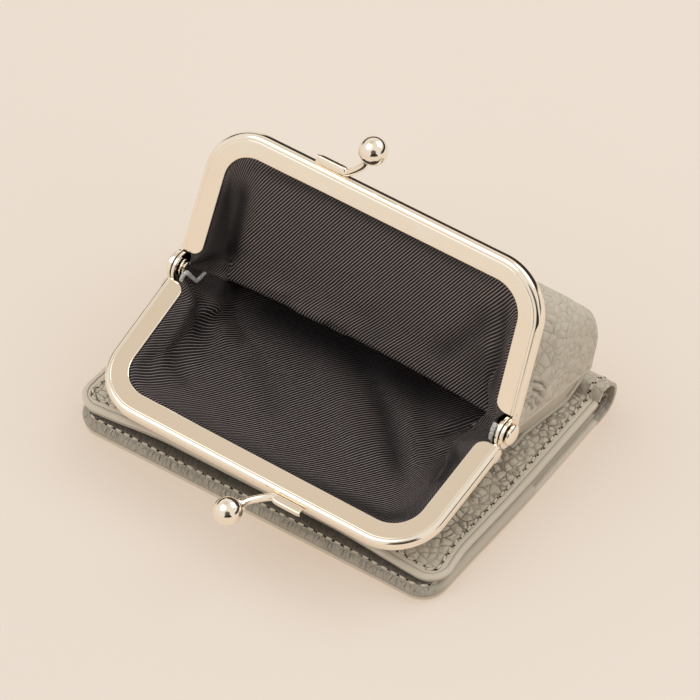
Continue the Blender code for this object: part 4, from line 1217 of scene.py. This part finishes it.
def makePouchLeather():
    p = pouch
    wide = jaw["width"] - 2 * p["sideInset"] - p["thick"]
    base = jaw["width"] - 2 * p["baseInset"]
    jawTop = hinge.z + jaw["reach"] * math.sin(math.radians(jaw["upperLift"]))
    lay = -jaw["faceGap"] - jaw["depth"] + jaw["sheet"] + 0.1 * mm + p["thick"] / 2
    behind = -jaw["faceGap"] - jaw["depth"] - seat - p["thick"] / 2
    fold = behind - 0.4 * mm
    back = p["back"]
    axis = hinge.z
    seam = station(back - 0.8 * mm, axis - 13.5 * mm, wide - 1.5 * mm, p["sideCorner"], fold)
    upper = jawRows(upperPlace, 1, (p["tuck"], p["heldTo"], p["lip"]), lay)
    upper += jawRows(upperPlace, 1, (p["lip"],), behind) + jawRows(upperPlace, 1, (jaw["band"],), fold)
    upper += stations(fold, wide, (
        (back, -21.5, jawTop, -13.5, -8, 14), (back, -11.0, jawTop, -22.6, -1, 8.5),
        (back, -4.5, axis, 8.6, 0, 4.5), (back, -1.6, axis, 4.4, 0, 3.8), (back, 0, axis, -3.0, 0, 3.4),
        (back, -0.1, axis, -9.0, -1, 3.4))) + [seam]
    rows = closed(upper, range(4, len(upper)))
    grid = np.concatenate([np.array(smoothRows(rows[:4], 2))[:-1], np.array(smoothRows(rows[3:], 14))])
    grid, shade = sculpt(grid, pouchFoldsAndShade)
    piece = shell("purseBackLeather", grid, p["thick"], pouchLeather, shares={"shade": shade}, sharp=60)
    blendToJaw(piece)
    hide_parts("purse_upper_leather")
    floor = coverTop + seat + p["thick"] / 2
    rear = coverTop + p["bulge"] + seat + p["thick"] / 2
    front = -p["front"]
    lower = [seam, shifted(seam, -0.1 * mm, -0.6 * mm)] + stations(fold, base, (
        (back, -2.0, rear, 0.8, 4.5, 4), (back, -3.0, rear, 0, 3, 4), (leafBack, 1.5, rear, 0, 3, 4),
        (leafBack, -6, floor, 0, 1.5, 4), (back, -28, floor, 0, -3.5, 4), (hinge.y, 0, floor, 0, -11, 4),
        (hinge.y, -14, floor, 0, -14, 4), (front, 5, floor, 0, -14, 4.5), (front, -2, floor, 2.5, -11, 6),
        (front, -6.2, floor, 6.6, -7, 7.5)))
    lower += jawRows(lowerPlace, -1, (p["lip"], p["heldTo"], p["tuck"]), lay)
    rows = closed(lower, range(9))
    grid = np.array(smoothRows(rows, 5))
    piece = shell("purseBaseLeather", grid, p["thick"], bandLeather, sharp=60)
    dress(piece, "front_leaf", "grained_leather", "purse_lower_leather")


def makePouchLining():
    p = pouch
    wide = jaw["width"] - 2 * p["liningInset"]
    floor = hinge.z - p["liningDepth"]
    jawTop = hinge.z + jaw["reach"] * math.sin(math.radians(jaw["upperLift"]))
    lay = -jaw["faceGap"] - jaw["sheet"] - 0.1 * mm - p["cloth"] / 2
    back = p["back"]
    axis = hinge.z
    front = -p["front"]
    seam = station(back - 7 * mm, axis - 11.4 * mm, wide - 2 * mm, p["baseCorner"], lay)
    upper = jawRows(upperPlace, 1, (p["tuck"], p["heldTo"], p["lip"]), lay) + stations(lay, wide, (
        (0, 10.4, jawTop, -11.8, 0, 9.5), (0, 8.6, jawTop, -19.8, -2, 9), (0, 6.0, axis, 10.0, -4, 7),
        (0, 4.2, axis, 3.2, -5, 5), (0, 2.4, axis, -2.2, -5, 3), (0, 2.1, axis, -4.8, -5, 2),
        (0, 4.6, axis, -6.6, -5, 2), (0, 17, axis, -8.6, -4, 3))) + [seam]
    lower = [shifted(seam, 0, -1.0 * mm)] + stations(lay, wide, (
        (back, -7.4, axis, -12.8, 0, 4), (back, -10, floor, -1.8, -2, 4), (back, -26, floor, -1.2, -4, 5),
        (hinge.y, 0, floor, -0.4, -8, 8), (hinge.y, -14, floor, 0, -7, 9), (front, 4.5, floor, 0.2, -5, 9),
        (front, -3.5, floor, 1.6, -2, 8)))
    lower += jawRows(lowerPlace, -1, (p["lip"], p["heldTo"], p["tuck"]), lay)
    for name, rows, material, node, folds, rests in (
            ("purseCurtainLining", upper, upperCloth, "purse_upper_lining", curtainFoldsAndShade, "upper_jaw"),
            ("purseFloorLining", lower, lowerCloth, "purse_lower_lining", floorFoldsAndShade, "lower_jaw")):
        rows = [np.array([tuple(q) for q in toHinge(row, 1.3 * mm, 47.3 * mm, 7, 1.9 * mm)]) for row in rows]
        grid = np.array(smoothRows(rows, 8))
        flatUV = clothUV(grid)
        if name == "purseCurtainLining":
            # its lower fold arches up in the middle
            above = grid[..., 2] - hinge.z + p["archDrop"]
            arch = np.exp(-(above / p["archTall"]) ** 2) * (grid[..., 1] < p["archFront"])
            crown = np.maximum(1 - (grid[..., 0] / p["archHalf"]) ** 2, -0.3)
            grid[..., 2] += p["archRise"] * arch * crown
        grid, shade = sculpt(grid, folds)
        piece = shell(name, grid, p["cloth"], material, uv=flatUV, shares={"shade": shade}, sharp=80)
        if node == "purse_upper_lining":
            blendToJaw(piece)
        else:
            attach(piece, "front_leaf")
        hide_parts(node)


# Folds and painted shade along lines of the photo: path in pixels, height in mm (a valley is minus), width in
# pixels, painted shade
pouchFoldsAndShade = [
    ([(529, 380), (540, 383), (547, 390)], -0.55, 1.8, 0.75),
    ([(529, 388), (538, 391), (543, 399)], -0.55, 1.8, 0.8),
    ([(528, 394), (534, 398), (538, 407)], -0.45, 1.6, 0.7),
    ([(525, 401), (530, 405), (532, 411)], -0.4, 1.6, 0.6),
    ([(535, 385), (543, 391)], 0.45, 2.4, 0.0), ([(553, 300), (560, 330), (556, 372)], 0.5, 7.0, 0.0)]
curtainFoldsAndShade = [
    ([(240, 172), (243, 200), (236, 240), (228, 276)], -0.9, 8.0, 0.9),
    ([(230, 172), (224, 205), (214, 240), (204, 276)], 0.0, 12.0, 0.8),
    ([(252, 190), (246, 225), (240, 262)], 0.7, 6.0, 0.0),
    ([(505, 290), (502, 330), (494, 372), (488, 408)], -0.9, 6.0, 0.6),
    ([(494, 300), (480, 330), (452, 348), (425, 362)], -0.8, 13.0, 0.45),
    ([(494, 335), (490, 370), (482, 402)], 0.7, 5.0, 0.0),
    ([(292, 300), (300, 312), (318, 318), (336, 318)], 0.6, 7.0, 0.0),
    ([(262, 283), (290, 297)], 0.5, 6.0, 0.0), ([(470, 330), (486, 372), (492, 400)], 0.0, 18.0, 0.35),
    ([(322, 322), (334, 331), (350, 337)], -0.6, 5.0, 0.2),
    ([(360, 300), (372, 330), (384, 350)], -0.35, 11.0, 0.15),
    ([(230, 185), (240, 166), (262, 168), (330, 198), (420, 242), (500, 283), (514, 310)], -0.2, 6.0, 0.6)]
floorFoldsAndShade = [
    ([(215, 287), (218, 320), (226, 353)], 0.9, 7.0, 0.0),
    ([(232, 292), (236, 322), (248, 350)], -0.8, 8.0, 0.5),
    ([(203, 287), (196, 312), (203, 345)], -0.9, 6.0, 0.5),
    ([(205, 283), (182, 320), (162, 353), (155, 387)], 0.8, 7.0, 0.0),
    ([(180, 345), (176, 370), (190, 392)], -0.6, 7.0, 0.35),
    ([(352, 340), (370, 375), (386, 415), (396, 455), (403, 493)], -1.2, 11.0, 0.8),
    ([(318, 345), (332, 380), (350, 420), (362, 470)], 0.9, 16.0, 0.0),
    ([(404, 395), (414, 430), (418, 470), (418, 498)], 0.8, 9.0, 0.0),
    ([(486, 418), (462, 419), (438, 424)], 0.9, 4.0, 0.0),
    ([(485, 425), (458, 430), (432, 440)], -0.8, 4.0, 0.45),
    ([(478, 432), (455, 445), (432, 452)], 0.6, 5.0, 0.0),
    ([(462, 448), (446, 466), (432, 486)], -1.0, 8.0, 0.75),
    ([(205, 290), (280, 318), (350, 352), (420, 388), (488, 420)], -0.2, 24.0, 0.96),
    ([(395, 385), (435, 405), (486, 430)], 0.0, 15.0, 0.6),
    ([(250, 340), (270, 385), (280, 430)], -0.5, 12.0, 0.25),
    ([(135, 385), (145, 400), (200, 430), (300, 480), (385, 518), (425, 512), (450, 480)], -0.2, 7.0, 0.8)]


def sculpt(grid, folds):
    # moves a sheet along its normals near the given lines, and paints shade along them
    shade = np.zeros(grid.shape[:2])
    normals = gridNormals(grid)
    facingCamera = normals @ np.array(cameraAxes()[2])
    flip = np.sign(facingCamera)
    seen = smoothStep(np.abs(facingCamera), 0.0, 0.15)
    spots = photoSpots(grid.reshape(-1, 3)).reshape(grid.shape[0], grid.shape[1], 2)
    shaped = grid.copy()
    for path, height, width, dark in folds:
        path = np.array(path, float)
        lengths = lengthsAlong(path)
        best = np.full(grid.shape[:2], 1e9)
        where = np.zeros(grid.shape[:2])
        for a, b, start in zip(path[:-1], path[1:], lengths[:-1]):
            ab = b - a
            t = np.clip(((spots - a) @ ab) / (ab @ ab), 0, 1)
            away = np.linalg.norm(spots - a - t[..., None] * ab, axis=2)
            nearer = away < best
            best[nearer] = away[nearer]
            where[nearer] = (start + t * np.linalg.norm(ab))[nearer]
        along = where / lengths[-1]
        taper = smoothStep(along, 0.0, 0.25) * smoothStep(1 - along, 0.0, 0.25)
        near = np.exp(-(best / width) ** 2) * taper * seen
        shaped += normals * (height * mm * near * flip)[..., None]
        shade = np.maximum(shade, dark * near)
    return shaped, shade


welt = millimetres(front=7, corner=4.5, drawnIn=3.4, drawnFrom=34, drawnOver=27, stand=1.2, proud=0.55,
                   lean=0.1)


def makeBaseBand():
    # the thin turned edge round the foot of the pouch, running out under the hinges
    p = pouch
    w = welt
    side = jaw["width"] / 2 - p["baseInset"] + p["thick"] / 2 + w["stand"]
    back = p["back"] - p["baseSetBack"] + p["thick"] / 2 + 0.3 * mm
    rampStart, rampEnd = leafBack - 6 * mm, leafBack + 1.5 * mm
    right = [(side - w["drawnIn"] * float(smoothStep(w["drawnFrom"] - y, 0, w["drawnOver"])), y)
             for y in np.linspace(w["front"], back - w["corner"], 30)]
    flat = side - w["corner"]
    right += arcPoints(w["corner"], 0, math.pi / 2, 10, (flat, back - w["corner"]))[1:]
    rear = [(x, back) for x in np.linspace(flat, -flat, 30)[1:-1]]
    outline = right + rear + [(-x, y) for x, y in right[::-1]]
    lean = w["lean"]
    rings = []
    for i, (x, y) in enumerate(outline):
        before, after = outline[max(i - 1, 0)], outline[min(i + 1, len(outline) - 1)]
        ahead = Vector((after[0] - before[0], after[1] - before[1])).normalized()
        out = Vector((ahead.y, -ahead.x))
        foot = coverTop + 0.15 * mm + p["bulge"] * float(smoothStep(y, rampStart, rampEnd))
        tall = (0.35 + 1.2 * float(smoothStep(y, w["front"], 2 * w["front"]))) * mm
        section = [(c * w["proud"] + lean * (s + 1) / 2, tall / 2 * (1 + s))
                   for c, s in arcPoints(1.0, -math.pi / 2, math.pi / 2, 10)]
        section += [(-0.7 * mm + lean, tall * 0.93), (-0.9 * mm, tall * 0.4), (-0.8 * mm, 0.1 * mm)]
        rings.append([Vector((x + hinge.x + out.x * a, y + out.y * a, foot + h)) for a, h in section])
    points, faces = tubeMesh(rings)
    band = meshObject("purseBaseBand", points, faces, bandLeather, sharp=60)
    dress(band, "front_leaf", "grained_leather", "purse_base_welt")


makeBackLeaf()
makeFacing()
makeFrontLeaf()
makeSpine()
print("leaves made")
makePouchLeather()
makeBaseBand()
makePouchLining()
print("pouch made")


# Paper cord in each channel; at the lower jaw its ends stick out crumpled beside the rivets
cord = dict(**millimetres(inset=3.0, level=-1.9, wide=0.9, high=0.5, start=9.0, bareWide=0.58, bareHigh=0.40),
            rightEnd=[(49.1, -6.3, 33.4), (49.2, -7.4, 32.6), (49.2, -8.2, 31.3), (49.1, -8.4, 29.8),
                      (49.0, -8.6, 28.1), (48.9, -10.7, 27.0)],
            leftEnd=[(-46.9, -10.7, 27.0), (-46.5, -8.6, 28.1), (-46.4, -8.7, 30.0), (-45.7, -8.5, 31.9),
                     (-44.8, -8.3, 33.0), (-44.2, -7.2, 30.9), (-44.0, -5.3, 27.9), (-44.0, -3.7, 27.7),
                     (-44.0, -1.7, 27.6)])


def makeCords():
    for name, node, place, turn, body in (("upperJawCord", "upper_jaw_cord", upperPlace, 1, "upper_jaw"),
                                          ("lowerJawCord", "lower_jaw_cord", lowerPlace, -1, "front_leaf")):
        armEnd = jaw["reach"] - jaw["corner"]
        starts = [cord["start"] + (armEnd - cord["start"]) * i / 6 for i in range(6)]
        line = [place @ Vector((turn * (x + nx * cord["inset"]), t + nt * cord["inset"], cord["level"]))
                for x, t, nx, nt in jawPath(starts, 8, 12)]
        tips = (0, 0)
        if body == "front_leaf":
            right = [Vector(p) * mm for p in cord["rightEnd"]]
            left = [Vector(p) * mm for p in cord["leftEnd"]]
            line = right + line + left
            tips = (len(right) * 5, len(left) * 5)
        path = curvePath(line, 5)

        def strand(i):
            # twisted along the channel, pressed flat where it sticks out
            bare = i < tips[0] or i > len(path) - tips[1]
            wide = cord["bareWide"] if bare else cord["wide"]
            high = cord["bareHigh"] if bare else cord["high"]
            ring = []
            for k in range(12):
                a = 2 * math.pi * k / 12
                ripple = 1 + 0.12 * math.cos(3 * a + 0.9 * i)
                ring.append((wide * ripple * math.cos(a), high * ripple * math.sin(a)))
            return ring

        points, faces = sweep(path, strand)
        print("%s %.1f mm long" % (name, lengthsAlong([tuple(p) for p in path])[-1] / mm))
        dress(meshObject(name, points, faces, paperFibre, sharp=40), body, "paper_cord", node)


makeCords()

# The boards keep their CAD shape and take a better finish
for node in ("back_stiffener", "front_stiffener"):
    mesh = frame["nodes"][node].data
    mesh.materials.clear()
    mesh.materials.append(boardFibre)


# Stage, light and camera
stageSize = 1.6


def makeStage():
    # the board glows warm as painted light that lifts its shadows; with its bluish base colour it still looks
    # pale where it is lit
    material, tree, shader = newMaterial("paleBoardGlow", Roughness=0.7, Specular_IOR_Level=0.2,
                                         Emission_Color=(0.43, 0.29, 0.19, 1), Emission_Strength=1.0)
    mottle = noise(tree, objectPlace(tree), 6.0, 3.0)
    colour = blendColour(tree, mottle, (0.384, 0.439, 0.468, 1), (0.404, 0.459, 0.488, 1))
    feed(tree, shader.inputs, Base_Color=colour)
    corners = [(x * stageSize, y * stageSize, 0) for x, y in ((-1, -1), (1, -1), (1, 1), (-1, 1))]
    floor = meshObject("paleFloor", corners, [(0, 1, 2, 3)], material)
    floor.location.z = -0.05 * mm


room = dict(ceiling=(0.86, 0.82, 0.765, 1), panel=(1.9, 1.86, 1.78, 1), warm=(0.72, 0.635, 0.54, 1),
            dark=(0.035, 0.030, 0.026, 1), dusk=(0.14, 0.12, 0.10, 1), strength=0.985, keyPower=4.6)


def addLight(name, place, target, size, power, colour):
    data = bpy.data.lights.new(name, 'AREA')
    data.shape = 'RECTANGLE'
    data.size, data.size_y = size
    data.energy = power
    data.color = colour
    obj = bpy.data.objects.new(name, data)
    obj.location = place
    obj.rotation_euler = (Vector(target) - Vector(place)).to_track_quat('-Z', 'Y').to_euler()
    bpy.context.scene.collection.objects.link(obj)


def makeLights():
    addLight("keyPanel", (0.55, 0.85, 1.1), (0, 0, 0.02), (1.0, 0.8), room["keyPower"], (1.0, 0.97, 0.93))
    world = bpy.data.worlds.new("softRoom")
    bpy.context.scene.world = world
    world.use_nodes = True
    tree = world.node_tree
    sky = tree.nodes["Background"]
    direction = tree.nodes.new('ShaderNodeTexCoord').outputs["Generated"]
    parts = addNode(tree, 'ShaderNodeSeparateXYZ', Vector=direction)

    def toward(v, low, high):
        node = addNode(tree, 'ShaderNodeVectorMath', dict(operation='DOT_PRODUCT'), i0=direction,
                       i1=tuple(Vector(v).normalized()))
        return ramped(tree, node.outputs["Value"], low, high)

    lowBack = times(tree, ramped(tree, parts.outputs[2], 0.22, 0.34, 1.0, 0.0),
                    ramped(tree, parts.outputs[1], -0.1, 0.2))
    colour = room["ceiling"]
    for share, tone in ((toward((-0.38, -0.42, 0.86), 0.895, 0.945), "panel"),
                        (toward((-0.38, 0.24, 0.89), 0.93, 0.985), "warm"), (lowBack, "dark"),
                        (toward((0.50, -0.72, 0.48), 0.925, 0.955), "dusk"),
                        (toward((0.62, -0.78, -0.08), 0.86, 0.90), "dark")):
        colour = blendColour(tree, share, colour, room[tone])
    feed(tree, sky.inputs, Color=colour, Strength=room["strength"])
    bpy.context.scene.view_settings.view_transform = 'Standard'


makeStage()
makeLights()
makeCamera()
